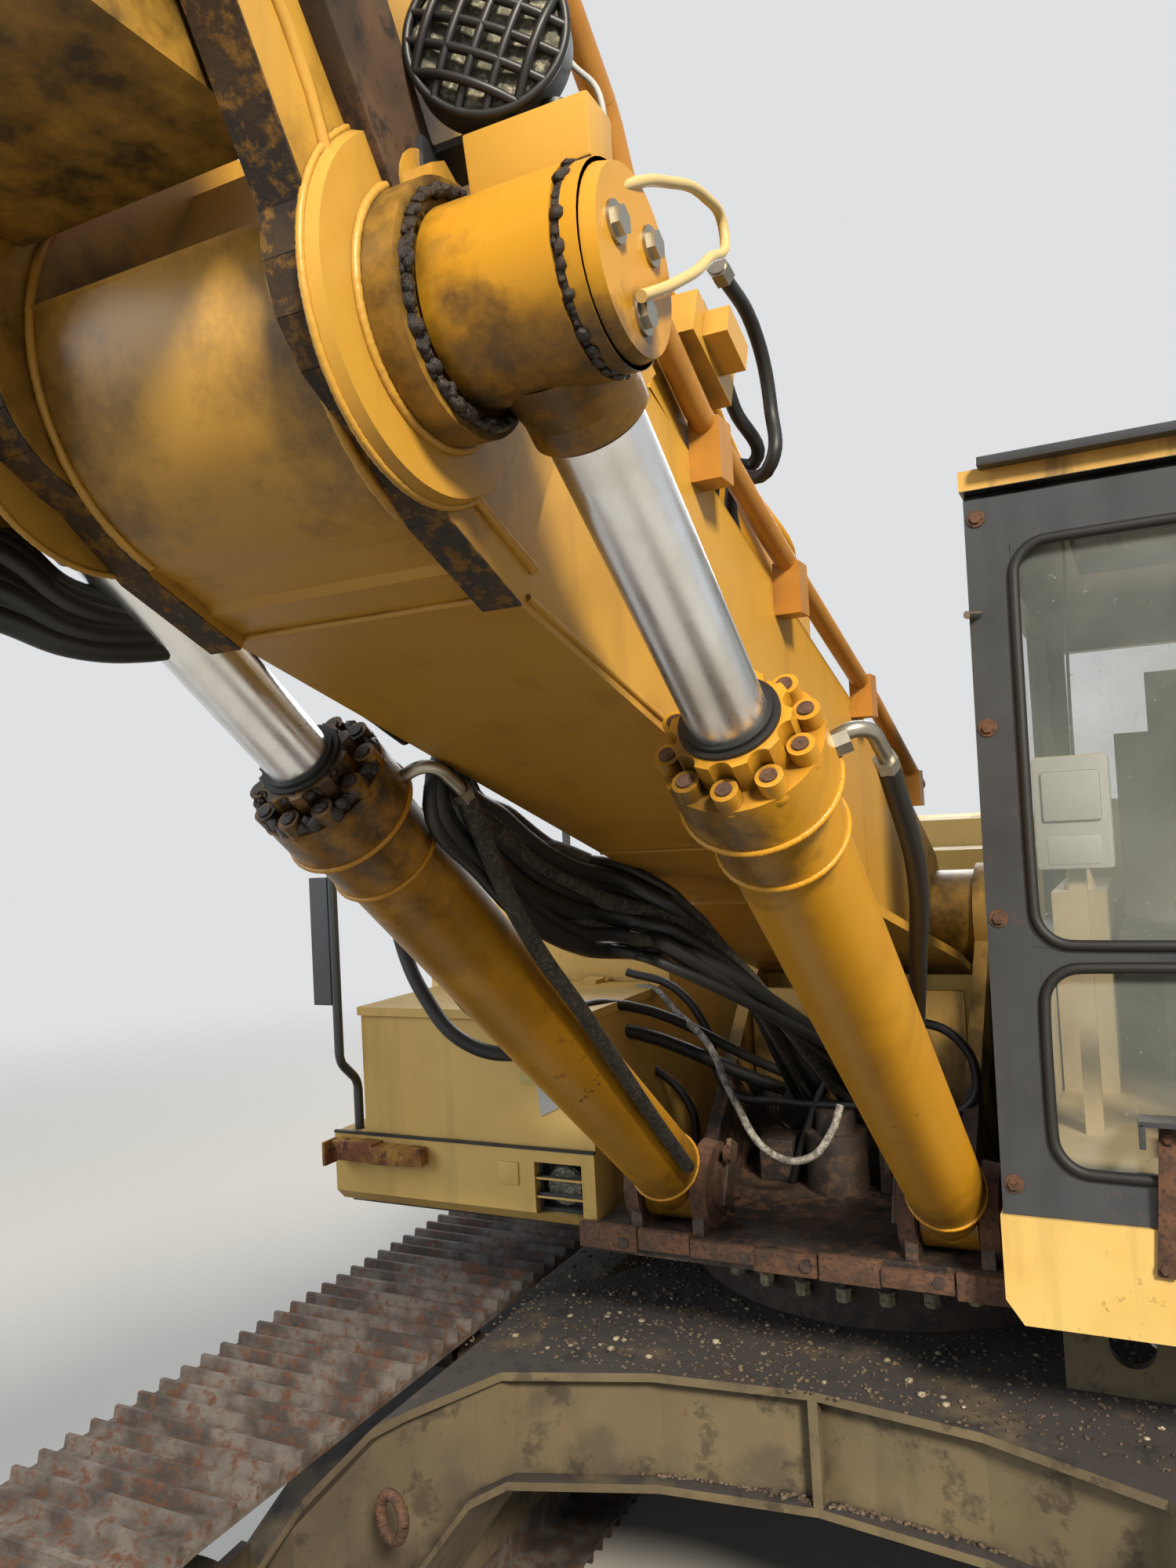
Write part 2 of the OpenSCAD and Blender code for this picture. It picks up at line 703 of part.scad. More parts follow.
// Front outline of the hood taken in by t
module hood_arch(t) {
  polygon([[t - hood_half, house_top - 5], [hood_half - t, house_top - 5], [hood_half - t, house_top + 55 - 0.6 * t],
           [hood_half - 90 - 0.4 * t, house_top + 131 - t], [90 + 0.4 * t - hood_half, house_top + 131 - t],
           [t - hood_half, house_top + 55 - 0.6 * t]]);
}

module engine_hood() {
  set_down() color(yellow) {
    difference() {
      intersection() {
        side_slab(-hood_half, 2 * hood_half)
          polygon([[hood_front, house_top + seat], [hood_front + 30, house_top + 110],
                   [hood_back - 50, house_top + 130], [hood_back, house_top + seat]]);
        front_slab(hood_front - 5, hood_back - hood_front + 10) hood_arch(0);
      }
      intersection() {
        side_slab(-hood_half + 30, 2 * hood_half - 60)
          polygon([[hood_front + 30, house_top], [hood_front + 56, house_top + 82],
                   [hood_back - 72, house_top + 100], [hood_back - 30, house_top]]);
        front_slab(hood_front - 5, hood_back - hood_front + 10) hood_arch(30);
      }
      // Air slots
      for (x = [-620, 120], k = [0:8])
        block(x, x + 500, hood_front + 260 + k * 70, hood_front + 290 + k * 70, house_top + 60, house_top + 140);
    }
    for (x = hood_hinges)
      translate([x, hood_front - hinge_r, house_top + hinge_r]) difference() {
        union() {
          translate([16 + seat, 0, 0]) rotate([0, 90, 0])
            cylinder(r = hinge_r - 1, h = hinge_len - 32 - 2 * seat);
          translate([16 + seat, 0, -6]) cube([hinge_len - 32 - 2 * seat, hinge_r + 12, 18]);
        }
        rotate([0, 90, 0]) cylinder(r = hinge_pin_r + pin_fit, h = hinge_len);
      }
  }
}

module side_door(side) {
  x0 = side > 0 ? deck_half - 30 : -deck_half;
  color(yellow) {
    difference() {
      block(x0, x0 + 30, bay_y0 + panel_gap, bay_y1 - panel_gap, bay_z0 + panel_gap, bay_z1 - panel_gap);
      for (k = [0:9])
        block(x0 - 5, x0 + 35, bay_y0 + 400, bay_y0 + 900, bay_z0 + 120 + k * 55, bay_z0 + 145 + k * 55);
    }
    for (z = hinge_heights)
      translate([side * bay_hinge_x, bay_hinge_y, z]) hinge_leaf(side);
  }
}

module side_door_left() {
  set_down() side_door(1);
}

module side_door_right() {
  set_down() side_door(-1);
}

box_x0 = -1430;
box_x1 = -560;
box_front = -1000;
box_back = -420;
box_seam = deck_top + 175;
box_top = box_seam + 350;
lid_top = box_top + 25;
lid_axis = [box_back - 25, lid_top + 2];
lid_hinges = [box_x0 + 250, box_x1 - 200 - hinge_len];
lamp_x0 = -745;
lamp_x1 = -600;
lamp_z0 = deck_top;
lamp_z1 = box_seam - 35;

// Front box: a lower skirt ahead of the deck, the box on the deck, and the recess of the head lamp
module storage_box() {
  set_down() color(yellow) {
    difference() {
      union() {
        side_slab(box_x0, box_x1 - box_x0)
          polygon([[box_front - 10, box_seam], [box_front - 10, deck_top + 2], [box_front + 22, deck_top - 30],
                   [-900 - seat, deck_top - 30], [-900 - seat, box_seam]]);
        block(box_x0, box_x1, -901, box_back, deck_top, box_seam);
        block(box_x0 + 110, box_x1, box_front, box_back, box_seam - 1, box_top);
      }
      block(lamp_x0, lamp_x1, box_front - 20, -900 - 20, lamp_z0, lamp_z1);
      block(box_x0 + 140, box_x1 - 30, box_front + 30, box_back - 30, box_seam + 25, box_top + 5);
    }
    for (x = lid_hinges)
      translate([x, lid_axis[0], lid_axis[1]]) lid_hinge_block();
  }
}

// Pin and arms of the lid's hinge; the arms stand behind the lid
module lid_hinge_block() {
  rotate([0, 90, 0]) cylinder(r = hinge_pin_r, h = hinge_len);
  for (x = [0, hinge_len - 16])
    translate([x, -hinge_pin_r, box_top - 1 - lid_axis[1]])
      cube([16, 28, lid_axis[1] - box_top + 1 + hinge_pin_r]);
}

module storage_lid() {
  set_down() color(yellow) {
    difference() {
      block(box_x0 + 105, box_x1 + 5, box_front - 12, box_back - 30, box_top + seat, lid_top);
      for (x = lid_hinges)
        block(x - 3, x + hinge_len + 3, lid_axis[0] - 24, box_back, box_top, lid_top + 1);
    }
    for (x = lid_hinges)
      translate([x + 16 + seat, lid_axis[0], lid_axis[1]]) difference() {
        union() {
          rotate([0, 90, 0]) cylinder(r = hinge_r - 1, h = hinge_len - 32 - 2 * seat);
          translate([0, -60, -2]) cube([hinge_len - 32 - 2 * seat, 60, 12]);
        }
        rotate([0, 90, 0]) translate([0, 0, -1]) cylinder(r = hinge_pin_r + pin_fit, h = hinge_len);
      }
  }
}

tank_top = deck_top + 780;

module fuel_tank() {
  set_down() color(yellow) {
    front_slab(box_back + seat, house_front - box_back - 2 * seat)
      polygon([[-deck_half, deck_top], [box_x1, deck_top], [box_x1, tank_top], [30 - deck_half, tank_top],
               [-deck_half, tank_top - 30]]);
    block(-deck_half + 80, -1150, box_back + 60, -100, tank_top - 1, tank_top + 20);
    for (p = [[-1000, -150], [-800, 420]])
      translate([p[0], p[1], tank_top - 1]) cylinder(r = 70, h = 60);
  }
}

module head_lamp() {
  x0 = lamp_x0 + seat;
  x1 = lamp_x1 - seat;
  z0 = lamp_z0 + seat;
  z1 = lamp_z1 - seat;
  back = -900 - 20 - seat;
  set_down() {
    color(black) difference() {
      block(x0, x1, box_front + 20, back, z0, z1);
      block(x0 + 9, x1 - 9, box_front + 10, back - 25, z0 + 9, z1 - 9);
    }
    color(yellow) for (z = [1445, 1490])
      block(x0, x1, box_front + 2, box_front + 12, z, z + 10);
    color(yellow) for (z = [1445, 1490], x = [x0, x1 - 6])
      block(x, x + 6, box_front + 11, box_front + 21, z, z + 10);
  }
}

// Cab

function cab_line(z) = -cab_front + cab_lean * (z - cab_sill) / (cab_top - cab_sill);

// Side outline of the cab taken in by t
module cab_side(t) {
  polygon([[cab_line(cab_sill + t) + t, cab_sill + t], [cab_line(cab_top - t) + t, cab_top - t - 20],
           [cab_line(cab_top - t) + t + 30, cab_top - t], [cab_back - t - 60, cab_top - t],
           [cab_back - t, cab_top - t - 60], [cab_back - t, cab_sill + t]]);
}

module cab_base() {
  set_down() color(yellow) {
    block(cab_x0 + 20, deck_half + 16, -cab_front + 120, cab_back, deck_top, cab_sill - seat);
    front_slab(-cab_front - 10, -930 - seat + cab_front + 10)
      polygon([[cab_x0 - 5, cab_sill - seat], [cab_x0 - 5, deck_top], [cab_x0 + 30, deck_top - 50],
               [deck_half + 16, deck_top - 50], [deck_half + 16, cab_sill - seat]]);
  }
}

sill_pane = cab_sill + 540;
door_hinge = [cab_x1 + 12 + hinge_r - 1, -66 + 8];
door_hinge_heights = [cab_sill + 200, cab_top - 450];

module cab_shell() {
  set_down() color(black) {
    difference() {
      side_slab(cab_x0, cab_w) cab_side(0);
      side_slab(cab_x0 + cab_wall, cab_w - 2 * cab_wall) cab_side(cab_wall);
      // Front panes
      block(cab_x0 + 95, cab_x1 - 95, -cab_front - 60, -cab_front + 260, sill_pane + 20, cab_top - 130);
      block(cab_x0 + 105, cab_x1 - 105, -cab_front - 60, -cab_front + 200, cab_sill + 90, sill_pane - 20);
      // Windows of the boom side, back and door side
      block(cab_x0 - 10, cab_x0 + cab_wall + 10, -cab_front + 260, 420, sill_pane - 60, cab_top - 150);
      block(cab_x0 + 110, cab_x1 - 110, cab_back - cab_wall - 40, cab_back + 40, sill_pane + 100, cab_top - 200);
      block(cab_x1 - cab_wall - 10, cab_x1 + 10, 20, 440, sill_pane - 60, cab_top - 150);
      // Doorway
      block(cab_x1 - cab_wall - 10, cab_x1 + 10, -cab_front + 200, -60, cab_sill + 50, cab_top - 120);
      // Roof hatch
      block(cab_x0 + 200, cab_x1 - 200, -700, -150, cab_top - cab_wall - 10, cab_top + 10);
    }
  }
  set_down() color(yellow) difference() {
    block(cab_x0 - 6, cab_x1 + 6, -cab_front + cab_lean - 16, cab_back - 20, cab_top - 1, cab_top + 46);
    block(cab_x0 + 200, cab_x1 - 200, -700, -150, cab_top - 10, cab_top + 60);
  }
  set_down() color(black) for (z = door_hinge_heights)
    translate([door_hinge[0], door_hinge[1], z]) {
      cylinder(r = hinge_pin_r, h = hinge_len);
      for (dz = [0, hinge_len - 16])
        translate([cab_x1 - door_hinge[0] - 1, 0, dz]) cube([door_hinge[0] - cab_x1 + 1 + 8, 20, 16]);
    }
}

module cab_glass() {
  set_down() color([0.75, 0.85, 0.86]) {
    slant_pane(cab_x0 + 95, cab_x1 - 95, sill_pane + 20, cab_top - 130);
    slant_pane(cab_x0 + 105, cab_x1 - 105, cab_sill + 90, sill_pane - 20);
    block(cab_x0 + 20, cab_x0 + 20 + glass_t, -cab_front + 260, 420, sill_pane - 60, cab_top - 150);
    block(cab_x0 + 110, cab_x1 - 110, cab_back - 30, cab_back - 30 + glass_t, sill_pane + 100, cab_top - 200);
    block(cab_x1 - 26, cab_x1 - 20, 20, 440, sill_pane - 60, cab_top - 150);
    block(cab_x0 + 200, cab_x1 - 200, -700, -150, cab_top - 20, cab_top - 14);
  }
}

module slant_pane(x0, x1, z0, z1) {
  side_slab(x0, x1 - x0)
    polygon([[cab_line(z0) + 20, z0], [cab_line(z1) + 20, z1], [cab_line(z1) + 20 + glass_t, z1],
             [cab_line(z0) + 20 + glass_t, z0]]);
}

module cab_seat() {
  set_down() color([0.35, 0.34, 0.32]) {
    block(cab_mid - 150, cab_mid + 150, -150, 250, cab_sill + cab_wall, cab_sill + 380);
    block(cab_mid - 250, cab_mid + 250, -230, 260, cab_sill + 379, cab_sill + 500);
    side_slab(cab_mid - 240, 480)
      polygon([[180, cab_sill + 480], [260, cab_sill + 1080], [370, cab_sill + 1070], [300, cab_sill + 480]]);
    side_slab(cab_mid - 140, 280)
      polygon([[265, cab_sill + 1075], [285, cab_sill + 1270], [375, cab_sill + 1260], [368, cab_sill + 1065]]);
  }
}

module cab_consoles() {
  set_down() color(beige) {
    for (side = [-1, 1]) {
      block(cab_mid + side * 345 - 70, cab_mid + side * 345 + 70, -330, 300, cab_sill + cab_wall,
            cab_sill + 620);
      translate([cab_mid + side * 345, -230, cab_sill + 619]) cylinder(r1 = 45, r2 = 25, h = 70);
      translate([cab_mid + side * 345, -230, cab_sill + 680]) cylinder(r = 14, h = 110);
      translate([cab_mid + side * 345, -230, cab_sill + 830]) sphere(r = 45);
    }
    // Monitor on its post by the front corner
    block(cab_x0 + 150, cab_x0 + 190, -760, -720, cab_sill + cab_wall, cab_sill + 720);
    block(cab_x0 + 90, cab_x0 + 250, -800, -690, cab_sill + 719, cab_sill + 980);
  }
}

module travel_levers() {
  set_down() for (x = [-95, 95]) {
    color(beige) translate([cab_mid + x, -760, cab_sill + cab_wall]) {
      for (k = [0:4])
        translate([0, 0, k * 30]) cylinder(r1 = 52 - k * 4, r2 = 40 - k * 4, h = 30);
    }
    color(black) {
      translate([cab_mid + x, -760, cab_sill + cab_wall + 140]) cylinder(r = 12, h = 420);
      translate([cab_mid + x, -760, cab_sill + cab_wall + 560]) sphere(r = 26);
      block(cab_mid + x - 60, cab_mid + x + 60, -960, -812, cab_sill + cab_wall + 40, cab_sill + cab_wall + 60);
      block(cab_mid + x - 12, cab_mid + x + 12, -900, -750, cab_sill + cab_wall + 20, cab_sill + cab_wall + 60);
    }
  }
}

module cab_door() {
  set_down() color(black) {
    difference() {
      block(cab_x1 - 40, cab_x1 + 12, -cab_front + 206, -66, cab_sill + 56, cab_top - 126);
      block(cab_x1 - 60, cab_x1 + 30, -cab_front + 276, -136, sill_pane - 10, cab_top - 200);
      block(cab_x1 - 60, cab_x1 + 30, -cab_front + 276, -136, cab_sill + 130, sill_pane - 80);
    }
    for (z = door_hinge_heights)
      translate([door_hinge[0], door_hinge[1], z + 16 + seat]) difference() {
        union() {
          cylinder(r = hinge_r, h = hinge_len - 32 - 2 * seat);
          translate([-hinge_r, -40, 0]) cube([8, 40, hinge_len - 32 - 2 * seat]);
        }
        translate([0, 0, -1]) cylinder(r = hinge_pin_r + pin_fit, h = hinge_len);
      }
  }
}

module cab_door_glass() {
  set_down() color([0.75, 0.85, 0.86]) {
    block(cab_x1 - 17, cab_x1 - 11, -cab_front + 276, -136, sill_pane - 10, cab_top - 200);
    block(cab_x1 - 17, cab_x1 - 11, -cab_front + 276, -136, cab_sill + 130, sill_pane - 80);
  }
}

module handrails() {
  set_down() color(black) {
    // Rail on the tank, mirror post and mirror, grab rail at the cab's door
    rail = tank_top + 520;
    bent_pipe(-1410, [[-380, tank_top + seat], [-380, rail], [560, rail], [560, tank_top + seat]], 17, 90);
    bent_pipe(post_x, [[box_front + 40, box_seam + seat], [box_front + 40, box_seam + 145],
                       [box_front - 40, box_seam + 215], [box_front - 40, box_seam + 845]], 14, 60);
    block(post_x - 75, post_x - 10, box_front - 54, box_front - 26, box_seam + 385, box_seam + 765);
    bent_pipe(cab_x1 + 50, [[-cab_front + 100, cab_sill + 450], [-cab_front + 140, cab_sill + 1150]], 13, 60);
    for (z = [cab_sill + 480, cab_sill + 1120])
      block(cab_x1 + seat, cab_x1 + 50, cab_line(z) + 38, cab_line(z) + 74, z - 12, z + 12);
  }
}

post_x = box_x0 + 55;

module exhaust() {
  set_down() color(dark) {
    translate([-1250, 1600, house_top + seat]) cylinder(r = 90, h = 10);
    translate([-1250, 1600, house_top + 1]) cylinder(r = 55, h = 419);
    translate([-1250, 1600, house_top + 400]) rotate([-25, 0, 0]) cylinder(r = 50, h = 130);
  }
}

// Base boom

knee_clear = 372;

module base_boom() {
  set_down() color(yellow) {
    difference() {
      union() {
        // Box between the side plates, and the wrap between the ears
        both_sides(0, boom_half) base_side();
        both_sides(0, ear_gap + 1) base_wrap();
        // Flared bottom plate towards the foot
        base_lip();
        // Foot hub
        cross_bar(150, -rail_x, rail_x, [foot_y, foot_z]);
        // Ears of the knee
        both_sides(ear_gap, ear_half) ear();
        // Bosses of the boom cylinders
        for (side = [-1, 1])
          cross_bar(118, side > 0 ? ear_half - 1 : -lift_x + eye_w / 2 + side_gap,
                    side > 0 ? lift_x - eye_w / 2 - side_gap : -ear_half + 1, lift_eye);
        // Lugs of the adjusting cylinder
        both_sides(eye_w / 2 + side_gap, eye_w / 2 + side_gap + 30)
          strap(adjust_foot, on_base(1260, 100), 85, 120);
      }
      // Room for the fore boom's end
      side_slab(-ear_gap, 2 * ear_gap) translate(knee) circle(knee_clear, $fn = 96);
      cross_bar(pin_r + pin_fit, -rail_x - 10, rail_x + 10, [foot_y, foot_z]);
      cross_bar(pin_r + pin_fit, -eye_w / 2 - side_gap, eye_w / 2 + side_gap, adjust_foot);
    }
    // Knee pin and adjusting cylinder's foot pin
    cross_bar(pin_r, -ear_half - 20, ear_half + 20, knee);
    cross_bar(pin_r, -eye_w / 2 - side_gap - 31, eye_w / 2 + side_gap + 31, adjust_foot);
    // Keeper bars of the knee pin
    for (side = [-1, 1])
      side_slab(side > 0 ? ear_half - 1 : -ear_half - 24, 25)
        strap(knee, on_base(3010, -210), 60, 48);
  }
}

module base_side() {
  polygon([on_base(-130, 60), on_base(60, 190), on_base(740, 217), on_base(1500, 150), on_base(2550, 60),
           on_base(3000, 20), on_base(3060, -250), on_base(2760, -455), on_base(1090, -294),
           on_base(225, -216), on_base(-60, -150), on_base(-150, -40)]);
}

module base_wrap() {
  difference() {
    union() {
      polygon([on_base(2700, 0), on_base(3000, -100), on_base(3095, -285), on_base(2960, -300),
               on_base(2860, -445), on_base(2700, -450)]);
      translate(on_base(2860, -215)) circle(235, $fn = 96);
    }
    translate(knee) circle(knee_clear, $fn = 96);
  }
}

module base_lip() {
  front = on_base(1150, -300);
  rear = on_base(120, -206);
  run = norm(front - rear);
  translate([0, rear[0], rear[1]]) rotate([atan2(front[1] - rear[1], rear[0] - front[0]) * -1, 0, 0])
    translate([0, -run, -12]) linear_extrude(24)
      polygon([[-boom_half - 10, 0], [boom_half + 10, 0], [rail_x, run * 0.75], [rail_x, run],
               [-rail_x, run], [-rail_x, run * 0.75]]);
}

module ear() {
  translate(knee) circle(knee_r);
  translate(on_base(2985, -290)) circle(135);
  polygon([on_base(2700, -466), on_base(2850, -458), on_base(2960, -424), on_base(3040, -380),
           on_base(3110, -322), on_base(3525, -30), on_base(3400, 190), on_base(3240, 180),
           on_base(2450, 75), on_base(2560, -120), on_base(2680, -220)]);
}

module boom_pipes() {
  set_down() color(yellow) {
    for (side = [-1, 1])
      bent_pipe(side * (boom_half + 25),
                [for (p = [[2840, 340], [2700, 300], [2500, 150], [2300, 125], [1900, 150], [1100, 225],
                           [500, 250]]) on_base(p[0], p[1])], 21, 80);
    for (side = [-1, 1], u = [600, 1200, 1800, 2250])
      let (at = on_base(u, u < 1300 ? 240 - u * 0.02 : 230 - u * 0.048))
        block(side > 0 ? boom_half + seat : -boom_half - 52, side > 0 ? boom_half + 52 : -boom_half - seat,
              at[0] - 30, at[0] + 30, at[1] - 80, at[1] + 20);
  }
}

module valve_blocks() {
  set_down() color(yellow) aimed(0, on_base(2330, 0), on_base(2330, 360)) {
    translate([125, -85, 87]) cube([75, 175, 96]);
    translate([125, -85, 182]) cube([135, 175, 80]);
    translate([190, -50, 200]) cube([110, 90, 50]);
  }
}

lamp_at = [315, -2814, 3173];

module work_lamp() {
  tab = ear_half + 24 + seat;
  set_down() {
    color(black) translate(lamp_at) rotate([90, 0, 18]) {
      cylinder(r = 76, h = 30);
      translate([0, 0, -60]) cylinder(r1 = 45, r2 = 76, h = 60.5);
    }
    color(yellow) {
      block(tab, tab + 8, -2855, -2800, 3058, 3097);
      block(tab, 345, -2835, -2775, 3089, 3097);
      block(290, 345, -2815, -2785, 3096, 3150);
    }
  }
}

// Boom cylinders

module lift_barrel(side) {
  aimed(side * lift_x, lift_foot, lift_eye) color(yellow)
    barrel(lift_barrel_len, lift_barrel_r, lift_rod_r, 72, eye_w / 2);
}

lift_span = norm(lift_eye - lift_foot);

module lift_rod(side) {
  aimed(side * lift_x, lift_foot, lift_eye) translate([0, 0, lift_span]) {
    color(steel) rod(lift_span - 620, lift_rod_r, 90, eye_w / 2);
    color(yellow) translate([side > 0 ? eye_w / 2 - 1 : -eye_w / 2 - 24, 0, 0])
      rotate([0, 90, 0]) cylinder(r = 88, h = 25);
  }
}

module lift_barrel_left() {
  set_down() lift_barrel(1);
}

module lift_barrel_right() {
  set_down() lift_barrel(-1);
}

module lift_rod_left() {
  set_down() lift_rod(1);
}

module lift_rod_right() {
  set_down() lift_rod(-1);
}

adjust_span = norm(adjust_eye - adjust_foot);

module adjust_barrel() {
  set_down() aimed(0, adjust_foot, adjust_eye) color(yellow) barrel(1640, 95, 55, 76, eye_w / 2);
}

module adjust_rod() {
  set_down() aimed(0, adjust_foot, adjust_eye) translate([0, 0, adjust_span])
    color(steel) rod(adjust_span - 420, 55, 95, eye_w / 2);
}

// Fore boom

module fore_boom() {
  set_down() color(yellow) difference() {
    union() {
      // Root between the ears, box, and fork at the stick
      both_sides(0, ear_gap - side_gap) fore_side();
      both_sides(0, boom_half) difference() {
        fore_side();
        translate(knee) circle(460, $fn = 96);
        translate(stick_pin) circle(fork_r, $fn = 96);
      }
      both_sides(stick_half + side_gap, ear_half) fore_fork();
      both_sides(eye_w / 2 + side_gap, eye_w / 2 + side_gap + 30) {
        strap(adjust_eye, on_fore(60, 100), 80, 150);
        strap(arm_foot, on_fore(360, 180), 85, 110);
      }
    }
    side_slab(-stick_half - side_gap, 2 * (stick_half + side_gap))
      translate(stick_pin) circle(fork_r, $fn = 96);
    // Groove in which the adjusting rod lies when the boom is folded down
    side_slab(-eye_w / 2 - side_gap, eye_w + 2 * side_gap) difference() {
      polygon([on_fore(-400, -110), knee, on_fore(120, 400), on_fore(120, 700), on_fore(-400, 700)]);
      translate(knee) circle(148);
    }
    cross_bar(pin_r + pin_fit, -ear_half, ear_half, knee);
  }
  set_down() color(steel) {
    cross_bar(pin_r, -ear_half - 25, ear_half + 25, stick_pin);
    cross_bar(pin_r, -eye_w / 2 - side_gap - 31, eye_w / 2 + side_gap + 31, arm_foot);
  }
}

module fore_side() {
  translate(knee) circle(190);
  tip = fore_len - 100;
  polygon([on_fore(-130, -140), on_fore(-130, -285), on_fore(60, -300), on_fore(900, -330),
           on_fore(tip - 700, -212), on_fore(tip - 200, -150), on_fore(tip, -110), on_fore(tip, 110),
           on_fore(tip - 650, 150), on_fore(900, 270), on_fore(200, 260), on_fore(-100, 170)]);
}

// The fork's depth, in which the stick's root turns
fork_r = 600;

module fore_fork() {
  translate(stick_pin) circle(150);
  root = fore_len - 770;
  polygon([on_fore(root, -218), on_fore(root + 470, -160), on_fore(fore_len + 10, -150),
           on_fore(fore_len + 20, 148), on_fore(root, 158)]);
}

// Stick and its cylinder

arm_span = norm(arm_eye - arm_foot);

module arm_barrel() {
  set_down() aimed(0, arm_foot, arm_eye) color(yellow) barrel(1715, 97, 57, 78, eye_w / 2);
}

module arm_rod() {
  set_down() aimed(0, arm_foot, arm_eye) translate([0, 0, arm_span])
    color(steel) rod(arm_span - 810, 57, 98, eye_w / 2);
}

module stick() {
  set_down() color(yellow) difference() {
    union() {
      both_sides(0, stick_half)
        polygon([on_stick(-520, 190), on_stick(0, 250), on_stick(150, 260), on_stick(2100, 140),
                 on_stick(2650, 100), on_stick(2670, -84), on_stick(600, -230), on_stick(0, -240),
                 on_stick(-200, -190), on_stick(-520, -130)]);
      both_sides(eye_w / 2 + side_gap, stick_half - 40) {
        strap(arm_eye, on_stick(-480, 10), 95, 130);
        strap(curl_foot, on_stick(90, 190), 85, 120);
      }
      cross_bar(105, -stick_half, stick_half, bucket_pin);
      cross_bar(100, -stick_half, stick_half, rocker_pin);
    }
    cross_bar(pin_r + pin_fit, -stick_half - 1, stick_half + 1, stick_pin);
    cross_bar(pin_r + pin_fit, -stick_half - 1, stick_half + 1, bucket_pin);
  }
  set_down() color(steel) {
    cross_bar(45, -255, 255, rocker_pin);
    cross_bar(pin_r, -stick_half + 39, stick_half - 39, curl_foot);
  }
}

curl_span = norm(curl_eye - curl_foot);

module curl_barrel() {
  set_down() aimed(0, curl_foot, curl_eye) color(yellow) barrel(1600, 85, 50, 68, eye_w / 2);
}

module curl_rod() {
  set_down() aimed(0, curl_foot, curl_eye) translate([0, 0, curl_span])
    color(steel) rod(curl_span - 915, 50, 80, eye_w / 2 - 5);
}

rocker_x0 = stick_half + 25;
ear_x = rocker_x0 + 45;

module rocker() {
  set_down() color(yellow) difference() {
    both_sides(rocker_x0, rocker_x0 + 40) strap(rocker_pin, curl_eye, 80, 75);
    cross_bar(45 + pin_fit, -400, 400, rocker_pin);
  }
  set_down() color(steel) for (side = [-1, 1])
    cross_bar(45, side > 0 ? eye_w / 2 + side_gap : -rocker_x0 - 50, side > 0 ? rocker_x0 + 50 : -eye_w / 2 - side_gap,
              curl_eye);
}

module bucket_link() {
  set_down() color(yellow) difference() {
    union() {
      both_sides(eye_w / 2 + side_gap, rocker_x0 - side_gap) strap(curl_eye, link_pin, link_hub_r, link_hub_r);
      cross_bar(link_hub_r - 6, -ear_x + side_gap, ear_x - side_gap, link_pin);
    }
    cross_bar(45 + pin_fit, -400, 400, curl_eye);
  }
}

// Bucket

// Places are from the bucket's pin, [y to the rear, z up], as parked
ground = -bucket_pin[1];
ear_way = (link_pin - bucket_pin) / link_arm;
inward = [-ear_way[1], ear_way[0]];
heel_z = ground + heel_r;
heel_at = [(back_in + heel_r - heel_z * inward[1]) / inward[0], heel_z];
back_top = back_in * inward - 95 * ear_way;
back_low = heel_at - heel_r * inward;
lip_h = 40;
// The open edge of a side wall, from the lip up to the back plate
lip_at = [lip_run, ground + lip_h];
edge_way = (back_top - lip_at) / norm(back_top - lip_at);
edge_in = [-edge_way[1], edge_way[0]];

// Inside of the side outline, taken in by t: round heel, flat floor, straight back plate
module bucket_outline(t) {
  translate(heel_at) circle(heel_r - t, $fn = 96);
  polygon([[heel_at[0], ground + t], [lip_run + 3 * t, ground + t], [lip_run + 3 * t, ground + lip_h + 8 * t],
           back_top + t * inward - 3 * t * ear_way, back_low + t * inward, heel_at]);
}

module bucket() {
  set_down() color(yellow) {
    difference() {
      side_slab(-bucket_half, 2 * bucket_half) translate(bucket_pin) bucket_outline(0);
      side_slab(-bucket_half + bucket_plate, 2 * (bucket_half - bucket_plate)) translate(bucket_pin)
        bucket_outline(bucket_plate);
    }
    both_sides(ear_x, ear_x + 50)
      translate(bucket_pin) {
        strap([0, 0], link_pin - bucket_pin, 100, 85);
        polygon([60 * inward - 90 * ear_way, (back_in + 20) * inward - 92 * ear_way, (back_in + 20) * inward,
                 back_low + 20 * inward, heel_at + heel_r * 0.97 * [cos(205), sin(205)],
                 link_pin - bucket_pin + 84 * [cos(215), sin(215)], link_pin - bucket_pin]);
      }
    cross_bar(pin_r, -ear_x - 60, ear_x + 60, bucket_pin);
    // Side cutters along the open edges, and wear plates round the heel
    both_sides(bucket_half - 1, bucket_half + 16) translate(bucket_pin)
      polygon([lip_at + 40 * edge_way - 24 * edge_in, lip_at + 330 * edge_way - 24 * edge_in,
               lip_at + 420 * edge_way + 10 * edge_in, lip_at + 390 * edge_way + 90 * edge_in,
               lip_at + 110 * edge_way + 90 * edge_in]);
    for (x = [-480, -50, 380])
      side_slab(x, 100) translate(bucket_pin) translate(heel_at) intersection() {
        difference() {
          circle(heel_r + 12);
          circle(heel_r - 8);
        }
        polygon([[0, 0], polar(2 * heel_r, 165), polar(2 * heel_r, 205), polar(2 * heel_r, 246)]);
      }
  }
}

